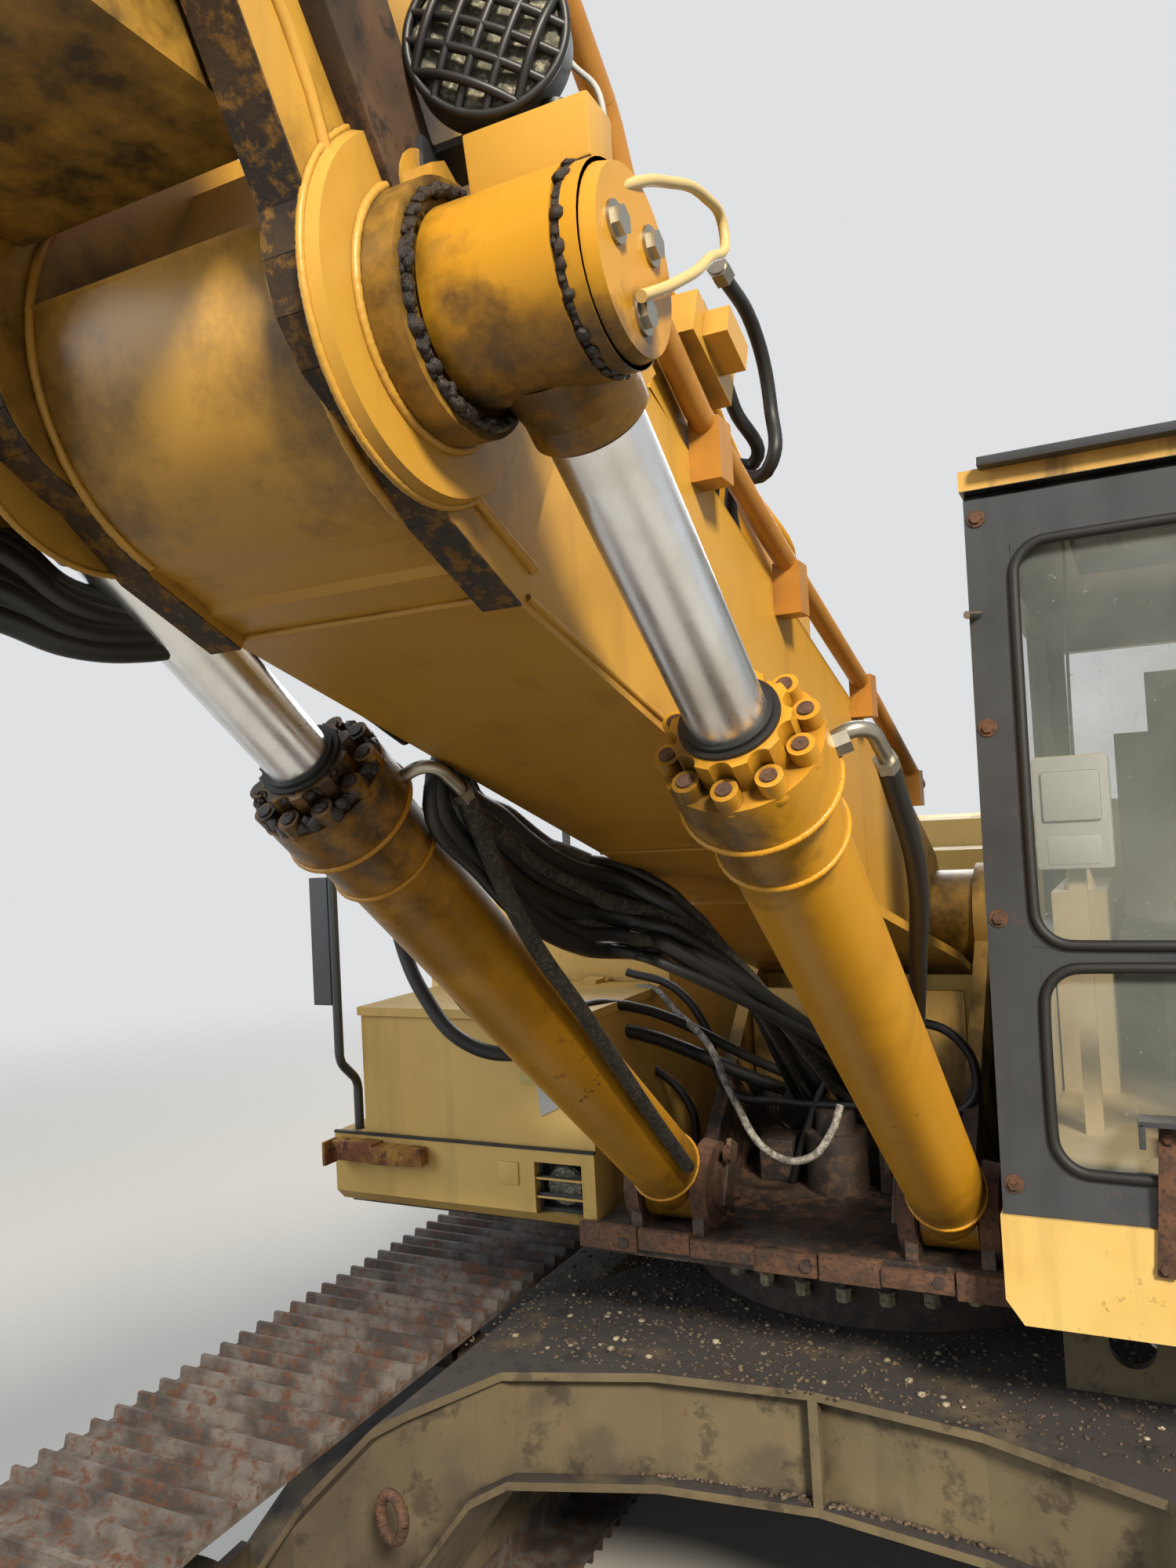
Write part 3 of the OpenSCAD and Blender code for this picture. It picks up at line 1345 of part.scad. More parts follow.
module bucket_teeth() {
  step = (2 * (bucket_half - bucket_plate) - 108) / (teeth - 1);
  top = ground + bucket_plate + seat;
  set_down() color(steel) for (k = [0:teeth - 1])
    side_slab((k - (teeth - 1) / 2) * step - 50, 100) translate([bucket_pin[0] + lip_run, bucket_pin[1]])
      polygon([[-130, top], [-90, ground + 68], [40, ground + 66], [205, ground + 14], [205, ground + 2],
               [seat, ground], [seat, top]]);
}

carbody();
swing_bearing();
track_frame_left();
track_frame_right();
track_left();
track_right();
running_gear_left();
running_gear_right();
main_frame();
counterweight();
engine_block();
engine_housing();
engine_hood();
side_door_left();
side_door_right();
storage_box();
storage_lid();
fuel_tank();
head_lamp();
cab_base();
cab_shell();
cab_glass();
cab_seat();
cab_consoles();
travel_levers();
cab_door();
cab_door_glass();
handrails();
exhaust();
base_boom();
boom_pipes();
valve_blocks();
work_lamp();
lift_barrel_left();
lift_barrel_right();
lift_rod_left();
lift_rod_right();
adjust_barrel();
adjust_rod();
fore_boom();
arm_barrel();
arm_rod();
stick();
curl_barrel();
curl_rod();
rocker();
bucket_link();
bucket();
bucket_teeth();
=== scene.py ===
"""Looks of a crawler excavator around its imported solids: paint, rust, hoses, bolts, cab, light and camera."""
import math
import random

import bmesh
import bpy
from mathutils import Matrix, Vector


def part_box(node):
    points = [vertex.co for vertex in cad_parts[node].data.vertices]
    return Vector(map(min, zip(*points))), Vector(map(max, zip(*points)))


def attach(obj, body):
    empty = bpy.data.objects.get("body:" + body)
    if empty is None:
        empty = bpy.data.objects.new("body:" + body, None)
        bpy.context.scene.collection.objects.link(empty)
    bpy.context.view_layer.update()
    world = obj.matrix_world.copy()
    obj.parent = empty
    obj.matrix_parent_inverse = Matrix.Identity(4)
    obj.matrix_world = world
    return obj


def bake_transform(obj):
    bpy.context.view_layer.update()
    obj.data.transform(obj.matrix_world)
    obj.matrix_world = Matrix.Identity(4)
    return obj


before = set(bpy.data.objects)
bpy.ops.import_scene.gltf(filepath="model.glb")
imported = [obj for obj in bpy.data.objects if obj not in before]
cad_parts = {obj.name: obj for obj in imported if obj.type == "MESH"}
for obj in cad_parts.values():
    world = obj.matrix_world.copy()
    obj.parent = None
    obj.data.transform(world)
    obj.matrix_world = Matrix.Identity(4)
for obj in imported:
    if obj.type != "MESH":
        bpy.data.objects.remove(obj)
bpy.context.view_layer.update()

# The swing axis stands at the bearing's middle; places below are given from it, -Y to the front
SWING_Y = sum((c.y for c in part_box("swing_bearing")), 0.0) / 2


def at(x, y, z):
    """A place given from the swing axis on the floor."""
    return Vector((x, y + SWING_Y, z))


def turned(origin, tilt, u, v, x):
    """A place along an arm: u forwards along its line, v square to it, x to the machine's left."""
    c, s = math.cos(math.radians(tilt)), math.sin(math.radians(tilt))
    return at(x, origin[0] - u * c + v * s, origin[1] + u * s + v * c)


# The arm's driving sizes in metres and degrees, as in the part's source: the boom's foot pin (distance
# from the swing axis, and height), the lengths between pins, the booms' tilts and the lean of the stick
BOOM_FOOT = (0.02, 2.10)
BASE_TILT = 22.25
BASE_LEN = 3.328
FORE_TILT = 4.0
FORE_LEN = 3.1
STICK_LEAN = 19.5
STICK_LEN = 2.8
KNEE = (BOOM_FOOT[0] - BASE_LEN * math.cos(math.radians(BASE_TILT)),
        BOOM_FOOT[1] + BASE_LEN * math.sin(math.radians(BASE_TILT)))


def base(u, v, x=0.0):
    """A place on the base boom: along it, above its line and left of the middle."""
    return turned(BOOM_FOOT, BASE_TILT, u, v, x)


def fore(u, v, x=0.0):
    """A place on the fore boom: along it, above its line and left of the middle."""
    return turned(KNEE, FORE_TILT, u, v, x)


# Camera, fitted to the photograph: picture size and focal length in pixels, turn in degrees

PHOTO_W, PHOTO_H = 1500, 2000
FOCAL = 1432.0
SENSOR = 36.0
YAW, PITCH, ROLL = math.radians(26.266), math.radians(2.29), math.radians(-3.087)
EYE = at(0.818, -3.716, 2.443)
ahead = Vector((-math.sin(YAW) * math.cos(PITCH), math.cos(YAW) * math.cos(PITCH), math.sin(PITCH)))
level_right = Vector((math.cos(YAW), math.sin(YAW), 0))
level_up = level_right.cross(ahead)
cam_right = level_right * math.cos(ROLL) + level_up * math.sin(ROLL)
cam_up = level_up * math.cos(ROLL) - level_right * math.sin(ROLL)

camera_data = bpy.data.cameras.new("camera")
camera_data.sensor_fit = "HORIZONTAL"
camera_data.sensor_width = SENSOR
camera_data.lens = SENSOR * FOCAL / PHOTO_W
camera_data.clip_start = 0.02
camera_data.clip_end = 400
camera = bpy.data.objects.new("camera", camera_data)
bpy.context.scene.collection.objects.link(camera)
camera.matrix_world = Matrix.Translation(EYE) @ Matrix((cam_right, cam_up, -ahead)).transposed().to_4x4()
bpy.context.scene.camera = camera


def sight(px, py, **plane):
    """The place seen at a pixel of the photograph, on the plane x=, y= or z= (from the swing axis)."""
    way = ahead + cam_right * ((px - PHOTO_W / 2) / FOCAL) + cam_up * ((PHOTO_H / 2 - py) / FOCAL)
    (axis, value), = plane.items()
    k = "xyz".index(axis)
    value = value + SWING_Y if axis == "y" else value
    return EYE + way * ((value - EYE[k]) / way[k])


# Colours and materials


def linear(code, alpha=1.0):
    """An sRGB hex colour as linear values."""
    parts = [int(code[k:k + 2], 16) / 255 for k in (1, 3, 5)]
    return [c / 12.92 if c <= 0.04045 else ((c + 0.055) / 1.055) ** 2.4 for c in parts] + [alpha]


def add(tree, kind, feeds=None, **settings):
    """A node with its settings; feeds maps its inputs to values or to other nodes' outputs."""
    made = tree.nodes.new(kind)
    for key, value in settings.items():
        setattr(made, key, value)
    for key, value in (feeds or {}).items():
        if isinstance(value, bpy.types.NodeSocket):
            tree.links.new(value, made.inputs[key])
        else:
            made.inputs[key].default_value = value
    return made


def surface(name, metallic=0.0, ior=1.5):
    """A material with its main shader, ready for patterns."""
    made = bpy.data.materials.new(name)
    made.use_nodes = True
    tree = made.node_tree
    shader = tree.nodes["Principled BSDF"]
    shader.inputs["Metallic"].default_value = metallic
    if not metallic:
        shader.inputs["IOR"].default_value = ior
    place = add(tree, "ShaderNodeTexCoord").outputs["Object"]
    return made, tree, shader, place


def patches(tree, place, size, detail, low, high, least=0.0, most=1.0, rough=0.55, stretch=None):
    """Cloudy patches about size millimetres wide: from least to most where the clouds go from low to high."""
    if stretch:
        place = add(tree, "ShaderNodeMapping", {"Vector": place, "Scale": stretch}).outputs["Vector"]
    clouds = add(tree, "ShaderNodeTexNoise", {"Vector": place, "Scale": 1000 / size, "Detail": detail,
                                             "Roughness": rough}).outputs["Fac"]
    return add(tree, "ShaderNodeMapRange", {"Value": clouds, "From Min": low, "From Max": high,
                                            "To Min": least, "To Max": most}).outputs["Result"]


# Sockets of a Mix node set to colours: the share, the colours below and above, and the one that comes out
SHARE, BELOW, ABOVE, MIXED = 0, 6, 7, 2


def coats(tree, shade, *laid):
    """The colour of coats laid one over the other, each given as its share and its colour."""
    for share, colour in laid:
        shade = add(tree, "ShaderNodeMix", {SHARE: share, BELOW: shade, ABOVE: colour},
                    data_type="RGBA").outputs[MIXED]
    return shade


def roughen(tree, shader, place, size, detail, strength, depth, rough=0.55):
    """Raise the surface in lumps about size millimetres wide; depth is in metres."""
    lumps = add(tree, "ShaderNodeTexNoise", {"Vector": place, "Scale": 1000 / size, "Detail": detail,
                                            "Roughness": rough}).outputs["Fac"]
    raised = add(tree, "ShaderNodeBump", {"Height": lumps, "Strength": strength, "Distance": depth})
    tree.links.new(raised.outputs["Normal"], shader.inputs["Normal"])


# What wears and dirties the paint, and breaks up the painted shade in its corners, as widths in millimetres
SUN_PATCH = 909
FADED_SPOT = 167
RAIN_STREAK = 111
SETTLED_DUST = 250
# Patches that break up the grime and painted shade in corners
CORNER_GRIME_AND_SHADE = 71.4
CHIPPED_ZONE = 385
CHIP = 26.3
OIL_PATCH = 294
OIL_SPOT = 118
# Orange peel of sprayed paint is about 1 mm wide; it is drawn coarser so that it shows
ORANGE_PEEL = 6.25
# Spots that hands, wind and rain leave on plastic, rubber and bare metal
HANDLED_SPOT = 143


def worn_enamel(name, main, pale, deep, dust="#B79B6B", rust="#5B3018", grime_and_shade="#2A1E12", chips=0.5,
                dusting=0.35, crevice_shade=0.7, gloss=0.4, mottle=0.0):
    """Sprayed machine enamel: bleached in patches, dusty on top, chipped to rust, and darkened in corners and
    crevices, partly by grime and partly by painted shade from ambient occlusion.
    """
    made, tree, shader, place = surface(name)
    shade = coats(tree, linear(main),
                  (patches(tree, place, SUN_PATCH, 3, 0.35, 0.7), linear(pale)),
                  (patches(tree, place, FADED_SPOT, 5, 0.5, 0.85, 0, 0.55), linear(deep)),
                  (patches(tree, place, RAIN_STREAK, 5, 0.55, 0.8, 0, 0.35, stretch=(1, 1, 0.09)),
                   linear(grime_and_shade)))
    normal = add(tree, "ShaderNodeTexCoord").outputs["Normal"]
    up = add(tree, "ShaderNodeSeparateXYZ", {0: normal}).outputs["Z"]
    level = add(tree, "ShaderNodeMapRange", {"Value": up, "From Min": 0.2, "From Max": 0.95}).outputs[0]
    drift = patches(tree, place, SETTLED_DUST, 6, 0.3, 0.65, 0, dusting * 2)
    settled = add(tree, "ShaderNodeMath", {0: level, 1: drift}, operation="MULTIPLY").outputs[0]
    # Painted shade: ambient occlusion darkens corners and crevices with the grime colour, in patches like caked
    # grime
    openness = add(tree, "ShaderNodeAmbientOcclusion", {"Distance": 0.09}, samples=4).outputs["AO"]
    corner = add(tree, "ShaderNodeMapRange", {"Value": openness, "From Min": 0.75, "From Max": 0.25,
                                              "To Max": crevice_shade}).outputs[0]
    corner_patches = patches(tree, place, CORNER_GRIME_AND_SHADE, 4, 0.3, 0.6)
    grime_and_corner_shade = add(tree, "ShaderNodeMath", {0: corner, 1: corner_patches}, operation="MULTIPLY").outputs[0]
    zone = patches(tree, place, CHIPPED_ZONE, 3, 0.56, 0.7)
    flake = patches(tree, place, CHIP, 8, 0.60, 0.63, 0, chips, rough=0.7)
    chip = add(tree, "ShaderNodeMath", {0: zone, 1: flake}, operation="MULTIPLY").outputs[0]
    shade = coats(tree, shade, (settled, linear(dust)), (grime_and_corner_shade, linear(grime_and_shade)), (chip, linear(rust)))
    if mottle:
        shade = coats(tree, shade,
                      (patches(tree, place, OIL_PATCH, 8, 0.5, 0.6, 0, mottle, rough=0.62), linear(deep)),
                      (patches(tree, place, OIL_SPOT, 9, 0.56, 0.62, 0, mottle, rough=0.68), linear(grime_and_shade)))
    tree.links.new(shade, shader.inputs["Base Color"])
    flat = add(tree, "ShaderNodeMath", {0: settled, 1: chip}, operation="MAXIMUM").outputs[0]
    dulled = add(tree, "ShaderNodeMapRange", {"Value": flat, "To Min": gloss, "To Max": 0.85}).outputs[0]
    tree.links.new(dulled, shader.inputs["Roughness"])
    roughen(tree, shader, place, ORANGE_PEEL, 3, 0.08, 0.001)
    return made


def crusted(name, colours, size, roughness=0.85, bump=0.6, depth=0.006):
    """Rust, dried mud or grease: rough, with three colours in uneven patches of a size in millimetres."""
    made, tree, shader, place = surface(name)
    first, second, third = (linear(c) for c in colours)
    shade = coats(tree, first, (patches(tree, place, size, 6, 0.4, 0.6), second),
                  (patches(tree, place, size / 3.3, 8, 0.5, 0.62, rough=0.7), third))
    tree.links.new(shade, shader.inputs["Base Color"])
    shader.inputs["Roughness"].default_value = roughness
    roughen(tree, shader, place, size / 4, 8, bump, depth, rough=0.65)
    return made


def plain(name, code, roughness, metallic=0.0, grain=0.0, grain_size=8.33, spread=0.0):
    """A finish with one colour or a little spread about it; grain is its relief, of a size in millimetres."""
    made, tree, shader, place = surface(name, metallic)
    shader.inputs["Base Color"].default_value = linear(code)
    if spread:
        dark = [c * (1 - spread) for c in linear(code)[:3]] + [1]
        shade = coats(tree, dark, (patches(tree, place, HANDLED_SPOT, 5, 0.35, 0.65), linear(code)))
        tree.links.new(shade, shader.inputs["Base Color"])
    shader.inputs["Roughness"].default_value = roughness
    if grain:
        roughen(tree, shader, place, grain_size, 3, grain, 0.001)
    return made


# Sprayed machine enamel in warm yellow, half gloss, bleached by the sun: the booms, the stick, its linkage
BOOM_YELLOW = worn_enamel("boom_yellow_enamel", "#C5912F", "#CC9F43", "#B3822A", chips=0.35, dusting=0.1)
# The same enamel, fresher and more orange, on the cylinders, with chips down to rust
CYLINDER_YELLOW = worn_enamel("cylinder_yellow_enamel", "#C58A10", "#CE9620", "#AC760E", chips=1.0,
                              dusting=0.08)
# The same enamel on the house and the bucket, paler and dull with dust
HOUSE_YELLOW = worn_enamel("house_yellow_enamel", "#D3AC58", "#DDBD72", "#C29A48", chips=0.6, dusting=0.3,
                           gloss=0.5)
# Paint left in dull olive patches under dried mud and gravel on the undercarriage frame, with deep painted
# shade in its corners
MUDDY_FRAME = worn_enamel("muddy_frame_paint", "#584E3D", "#786A4C", "#3E362E", dust="#3A3634",
                          grime_and_shade="#151211", chips=0.9, dusting=1.3, crevice_shade=0.95, gloss=0.8, mottle=0.5)
# Forged and hardened track steel, grey where the ground rubs it, rusty with dried mud elsewhere
TRACK_STEEL = crusted("rusty_track_steel", ("#3E3732", "#69625B", "#5A3A26"), 111, bump=0.7)
# Cast steel under a film of oil and dust: nearly black, half dull, a little rust at the edges
DARK_CAST = crusted("oily_cast_steel", ("#241F1B", "#3A3029", "#4E3B2C"), 125, roughness=0.6, bump=0.4)
# Old grease thick with grit: black, lumpy and wet to the eye
GREASE = crusted("old_black_grease", ("#15110D", "#2A2018", "#3B2A1B"), 45.5, roughness=0.35, bump=0.9)
# Bare rolled steel rusted through: matt brown scale
RUST = crusted("bare_rust", ("#4C3729", "#654632", "#352921"), 38.5, bump=0.5, depth=0.003)
# Paint rubbed off a plate edge by grease and grit: black with the yellow showing through, and darker still with
# painted shade, as the edge faces down
GREASY_SHADED_EDGE = crusted("greasy_shaded_plate_edge", ("#221A13", "#3D2D1B", "#7C5A22"), 77, bump=0.6, depth=0.003)
# Flame-cut steel bar soaked in oil: smooth dark brown
BROWN_BAR = crusted("oil_stained_bar", ("#3B2E23", "#5C4531", "#241C16"), 125, bump=0.3, depth=0.002)
# Sprayed black enamel on the cab's frame: half gloss, greyed by dust, rust in its chips
BLACK_PAINT = worn_enamel("black_cab_enamel", "#34373A", "#44484C", "#222325", dust="#8B877E", rust="#6B3D22",
                          grime_and_shade="#0B0B0B", chips=0.7, dusting=0.2, gloss=0.35)
# Extruded synthetic rubber of the hoses: black, half dull, rubbed grey in spots
RUBBER = plain("black_rubber_hose", "#171717", 0.5, grain=0.15, spread=0.35)
# Moulded rubber of seals and wipers: even, dull black
SEAL = plain("black_rubber_seal", "#141414", 0.6, grain=0.1)
# Textile braid over a hose: pale grey threads, dark in between, drawn coarser than their 1 mm to show
BRAID = crusted("grey_textile_braid", ("#A9A59B", "#6F6B63", "#3A3834"), 16.7, bump=0.7, depth=0.002)
# Zinc-plated steel fittings: warm grey metal, clouded
ZINC = plain("zinc_plated_steel", "#A7A294", 0.38, metallic=1.0, grain=0.1, spread=0.3)
# Enamel lifting off rusted steel: yellow, orange and brown flakes
RUST_PAINT = crusted("paint_flaking_to_rust", ("#B98A3C", "#7A4A2C", "#4A2C1C"), 111, bump=0.4, depth=0.003)
# Drawn nylon grease line: smooth cream plastic
CREAM_HOSE = plain("cream_plastic_hose", "#CDB577", 0.45)
# Moulded plastic of the linings and consoles: beige, fine leather grain
BEIGE = plain("moulded_beige_plastic", "#BFAE88", 0.6, grain=0.15, spread=0.15)
# Moulded plastic of the monitor: pale grey, finely grained
PALE_GREY = plain("moulded_grey_plastic", "#B6B8B4", 0.5, grain=0.1, spread=0.1)
# Woven seat cloth: matt grey threads, drawn coarser than their 1 mm so that they show
CLOTH = plain("woven_seat_cloth", "#6B675F", 0.95, grain=0.6, grain_size=3.33, spread=0.25)
# Pressed lamp glass under dust: glossy olive grey with pale specks
LENS = crusted("dusty_lamp_lens", ("#4A4A40", "#6E6C5C", "#A8A48C"), 25, roughness=0.2, bump=0.2)
# Hose rubber under caked dust: brown-grey and matt
HOSE_DIRT = crusted("dusty_hose_cover", ("#24231F", "#3E3B34", "#5F5B50"), 29.4, bump=0.4, depth=0.002)
# Drawn steel pipes brushed with an older, browner coat of the enamel
PIPE_YELLOW = worn_enamel("boom_pipe_enamel", "#AE7426", "#B98436", "#8A5A1E", chips=0.8, dusting=0.2)
# Silvered mirror glass: a clear reflection, slightly grey
MIRROR = plain("mirror_glass", "#A8ADB0", 0.05, metallic=1.0)
# Moulded black plastic of grilles, knobs and the wiper: half gloss
BLACK_PLASTIC = plain("black_plastic", "#161616", 0.45, grain=0.1, spread=0.2)
# Blank film label: flat pale yellow
STICKER = plain("blank_label_film", "#C9B56C", 0.55, spread=0.1)
# Cream paint and dust on bolt heads and stones: matt, in pale crumbs
CREAM_CAST = crusted("dusty_bolt_paint", ("#8C8269", "#B5AB8E", "#5C5344"), 33.3, bump=0.4)
# Dried mud with gravel in it: matt brown, with a deep crumbly relief
GRAVEL = crusted("dried_mud_and_gravel", ("#57493B", "#7F6F5A", "#2E2822"), 55.6, roughness=0.95, bump=1.0,
                 depth=0.012)


def hard_chrome():
    """Hard chromed and ground rods: a grey mirror, slightly clouded, with smears of oil in its gloss."""
    made, tree, shader, place = surface("hard_chromed_rod", metallic=1.0)
    shade = coats(tree, linear("#E4E6E8"), (patches(tree, place, 167, 6, 0.45, 0.75), linear("#C4C0B8")))
    tree.links.new(shade, shader.inputs["Base Color"])
    tree.links.new(patches(tree, place, 41.7, 6, 0.3, 0.7, 0.24, 0.34), shader.inputs["Roughness"])
    return made


def cab_glazing():
    """Safety glass: clear, with dried drops and a film of dust."""
    made, tree, shader, place = surface("dusty_safety_glass", ior=1.45)
    shader.inputs["Transmission Weight"].default_value = 0.0
    shader.inputs["Roughness"].default_value = 0.08
    shader.inputs["Alpha"].default_value = 0.22
    drops = patches(tree, place, 18.2, 5, 0.64, 0.7, 0, 0.6, rough=0.8)
    film = patches(tree, place, 333, 5, 0.3, 0.8, 0.1, 0.3)
    soiled = add(tree, "ShaderNodeMath", {0: drops, 1: film}, operation="ADD").outputs[0]
    tree.links.new(soiled, shader.inputs["Alpha"])
    shader.inputs["Base Color"].default_value = linear("#9AA39F")
    return made


CHROME = hard_chrome()
GLASS = cab_glazing()


def two_tone(name, lower, height, blur):
    """A finish up to a height, with a ragged border, and stained machine yellow above it."""
    made = lower.copy()
    made.name = name
    tree = made.node_tree
    below = tree.nodes["Principled BSDF"]
    above = tree.nodes.new("ShaderNodeBsdfPrincipled")
    place = add(tree, "ShaderNodeTexCoord").outputs["Object"]
    level = add(tree, "ShaderNodeSeparateXYZ", {0: place}).outputs["Z"]
    shift = patches(tree, place, 286, 6, 0.3, 0.7, -blur, blur)
    ragged = add(tree, "ShaderNodeMath", {0: shift, 1: level}, operation="ADD").outputs[0]
    half = blur * 0.5 + 0.0005
    share = add(tree, "ShaderNodeMapRange", {"Value": ragged, "From Min": height - half,
                                             "From Max": height + half}).outputs[0]
    stain = patches(tree, place, 90.9, 6, 0.5, 0.66, 0, 0.7, stretch=(1, 1, 0.2))
    shade = coats(tree, linear("#C9A04E"), (patches(tree, place, 200, 6, 0.4, 0.65), linear("#B08C48")),
                  (stain, linear("#33281C")))
    tree.links.new(shade, above.inputs["Base Color"])
    above.inputs["Roughness"].default_value = 0.6
    mixed = add(tree, "ShaderNodeMixShader", {0: share, 1: below.outputs[0], 2: above.outputs[0]})
    tree.links.new(mixed.outputs[0], tree.nodes["Material Output"].inputs["Surface"])
    return made


# Black oil and grit on the swing deck, thinning to stained paint higher up on the boom's plates
DECK_TOP, DECK_BLUR = 1.72, 0.22
OIL_GRIT = crusted("oil_soaked_grit", ("#26201C", "#40352C", "#5E4433"), 143, roughness=0.6)
DECK = two_tone("oily_swing_deck", OIL_GRIT, DECK_TOP, DECK_BLUR)
# Black enamel on the cab's frame, machine yellow on its roof
CAB_ROOF = 3.1642
CAB_TONES = two_tone("cab_black_and_yellow", BLACK_PAINT, CAB_ROOF, 0.0)

NODE_FINISH = {
    BOOM_YELLOW: "base_boom fore_boom valve_blocks stick rocker bucket_link",
    PIPE_YELLOW: "boom_pipes",
    CYLINDER_YELLOW: "lift_barrel_left lift_barrel_right adjust_barrel arm_barrel curl_barrel",
    DECK: "main_frame",
    CAB_TONES: "cab_shell",
    HOUSE_YELLOW: "counterweight engine_housing engine_hood side_door_left side_door_right storage_box "
                  "storage_lid fuel_tank cab_base bucket",
    MUDDY_FRAME: "carbody track_frame_left track_frame_right",
    TRACK_STEEL: "track_left track_right bucket_teeth",
    DARK_CAST: "running_gear_left running_gear_right swing_bearing engine_block exhaust",
    BLACK_PAINT: "cab_door handrails head_lamp work_lamp",
    GLASS: "cab_glass cab_door_glass",
    CLOTH: "cab_seat",
    BEIGE: "cab_consoles travel_levers",
    CHROME: "lift_rod_left lift_rod_right adjust_rod arm_rod curl_rod",
}
for finish, names in NODE_FINISH.items():
    for name in names.split():
        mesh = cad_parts[name].data
        mesh.materials.clear()
        mesh.materials.append(finish)


def greased(source, name, spots, colour="#1A120B"):
    """A finish stained by old grease round some places: (centre, reach in metres, share)."""
    made = source.copy()
    made.name = name
    tree = made.node_tree
    shader = tree.nodes["Principled BSDF"]
    shade = shader.inputs["Base Color"].links[0].from_socket
    place = add(tree, "ShaderNodeTexCoord").outputs["Object"]
    ragged = patches(tree, place, 66.7, 8, 0.25, 0.75, -0.5, 0.5, rough=0.66)
    for centre, reach, share in spots:
        away = add(tree, "ShaderNodeVectorMath", {0: place, 1: tuple(centre)}, operation="DISTANCE")
        torn = add(tree, "ShaderNodeMath", {0: ragged, 1: reach * 0.9, 2: away.outputs["Value"]},
                   operation="MULTIPLY_ADD")
        stained = add(tree, "ShaderNodeMapRange", {"Value": torn.outputs[0], "From Min": reach * 0.4,
                                                   "From Max": reach * 1.15, "To Min": share, "To Max": 0})
        shade = coats(tree, shade, (stained.outputs[0], linear(colour)))
    tree.links.new(shade, shader.inputs["Base Color"])
    return made


# Making pieces


def shown(mesh, name, material, body, smooth=30):
    """A finished mesh as a piece on a body; with no body it is left free."""
    mesh.materials.clear()
    mesh.materials.append(material)
    mesh.polygons.foreach_set("use_smooth", [True] * len(mesh.polygons))
    mesh.set_sharp_from_angle(angle=math.radians(smooth))
    piece = bpy.data.objects.new(name, mesh)
    bpy.context.scene.collection.objects.link(piece)
    if body:
        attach(piece, body)
    return piece


def from_bmesh(work, name, material, body, smooth=30, slot=None):
    """Make a mesh worked out here into one piece of a body."""
    mesh = bpy.data.meshes.new(name)
    bmesh.ops.recalc_face_normals(work, faces=work.faces)
    work.to_mesh(mesh)
    work.free()
    return shown(mesh, name, material, body, smooth)


def evaluated(piece, name):
    """The piece with its modifiers made real, as a plain mesh."""
    graph = bpy.context.evaluated_depsgraph_get()
    mesh = bpy.data.meshes.new_from_object(piece.evaluated_get(graph), depsgraph=graph)
    mesh.name = name
    data = piece.data
    bpy.data.objects.remove(piece)
    if data.users == 0:
        (bpy.data.meshes if isinstance(data, bpy.types.Mesh) else bpy.data.curves).remove(data)
    return mesh


def put(work, shape, matrix):
    """Add a primitive to a mesh in the making, at a matrix."""
    kind, sizes = shape
    if kind == "cone":
        bmesh.ops.create_cone(work, cap_ends=True, matrix=matrix, **sizes)
    elif kind == "ball":
        bmesh.ops.create_icosphere(work, matrix=matrix, **sizes)
    else:
        bmesh.ops.create_cube(work, size=1, matrix=matrix @ Matrix.Diagonal((*sizes, 1)))


def facing(place, way):
    """A matrix at a place with its Z along a way."""
    return Matrix.Translation(place) @ Vector(way).to_track_quat("Z", "Y").to_matrix().to_4x4()


def rods(name, parts, material, body, sides=24, **more):
    """Straight round bars: (start, end, radius) or (start, end, radius, end radius)."""
    work = bmesh.new()
    for start, end, radius, *rest in parts:
        way = end - start
        put(work, ("cone", dict(segments=sides, radius1=radius, radius2=rest[0] if rest else radius,
                                depth=way.length)), facing((start + end) / 2, way))
    return from_bmesh(work, name, material, body, **more)


def blocks(name, parts, material, body, bevel=0.0, **more):
    """Boxes: (centre, (x, y, z) sizes) or (centre, sizes, matrix of a turn)."""
    work = bmesh.new()
    for centre, sizes, *turn in parts:
        put(work, ("cube", sizes), Matrix.Translation(centre) @ (turn[0].to_4x4() if turn else Matrix()))
    if bevel:
        bmesh.ops.bevel(work, geom=work.edges[:], offset=bevel, segments=2, affect="EDGES", profile=0.6)
    return from_bmesh(work, name, material, body, **more)


def plates(name, parts, material, body, bevel=0.0, **more):
    """Flat plates: (outline of places in one plane, the way they are thick as a vector)."""
    work = bmesh.new()
    for outline, thick in parts:
        face = work.faces.new([work.verts.new(p) for p in outline])
        moved = bmesh.ops.extrude_face_region(work, geom=[face])
        lifted = [v for v in moved["geom"] if isinstance(v, bmesh.types.BMVert)]
        bmesh.ops.translate(work, vec=thick, verts=lifted)
    if bevel:
        bmesh.ops.recalc_face_normals(work, faces=work.faces)
        edges = [e for e in work.edges if len(e.link_faces) == 2 and e.calc_face_angle() > 0.6]
        bmesh.ops.bevel(work, geom=edges, offset=bevel, segments=2, affect="EDGES", profile=0.6)
    return from_bmesh(work, name, material, body, **more)


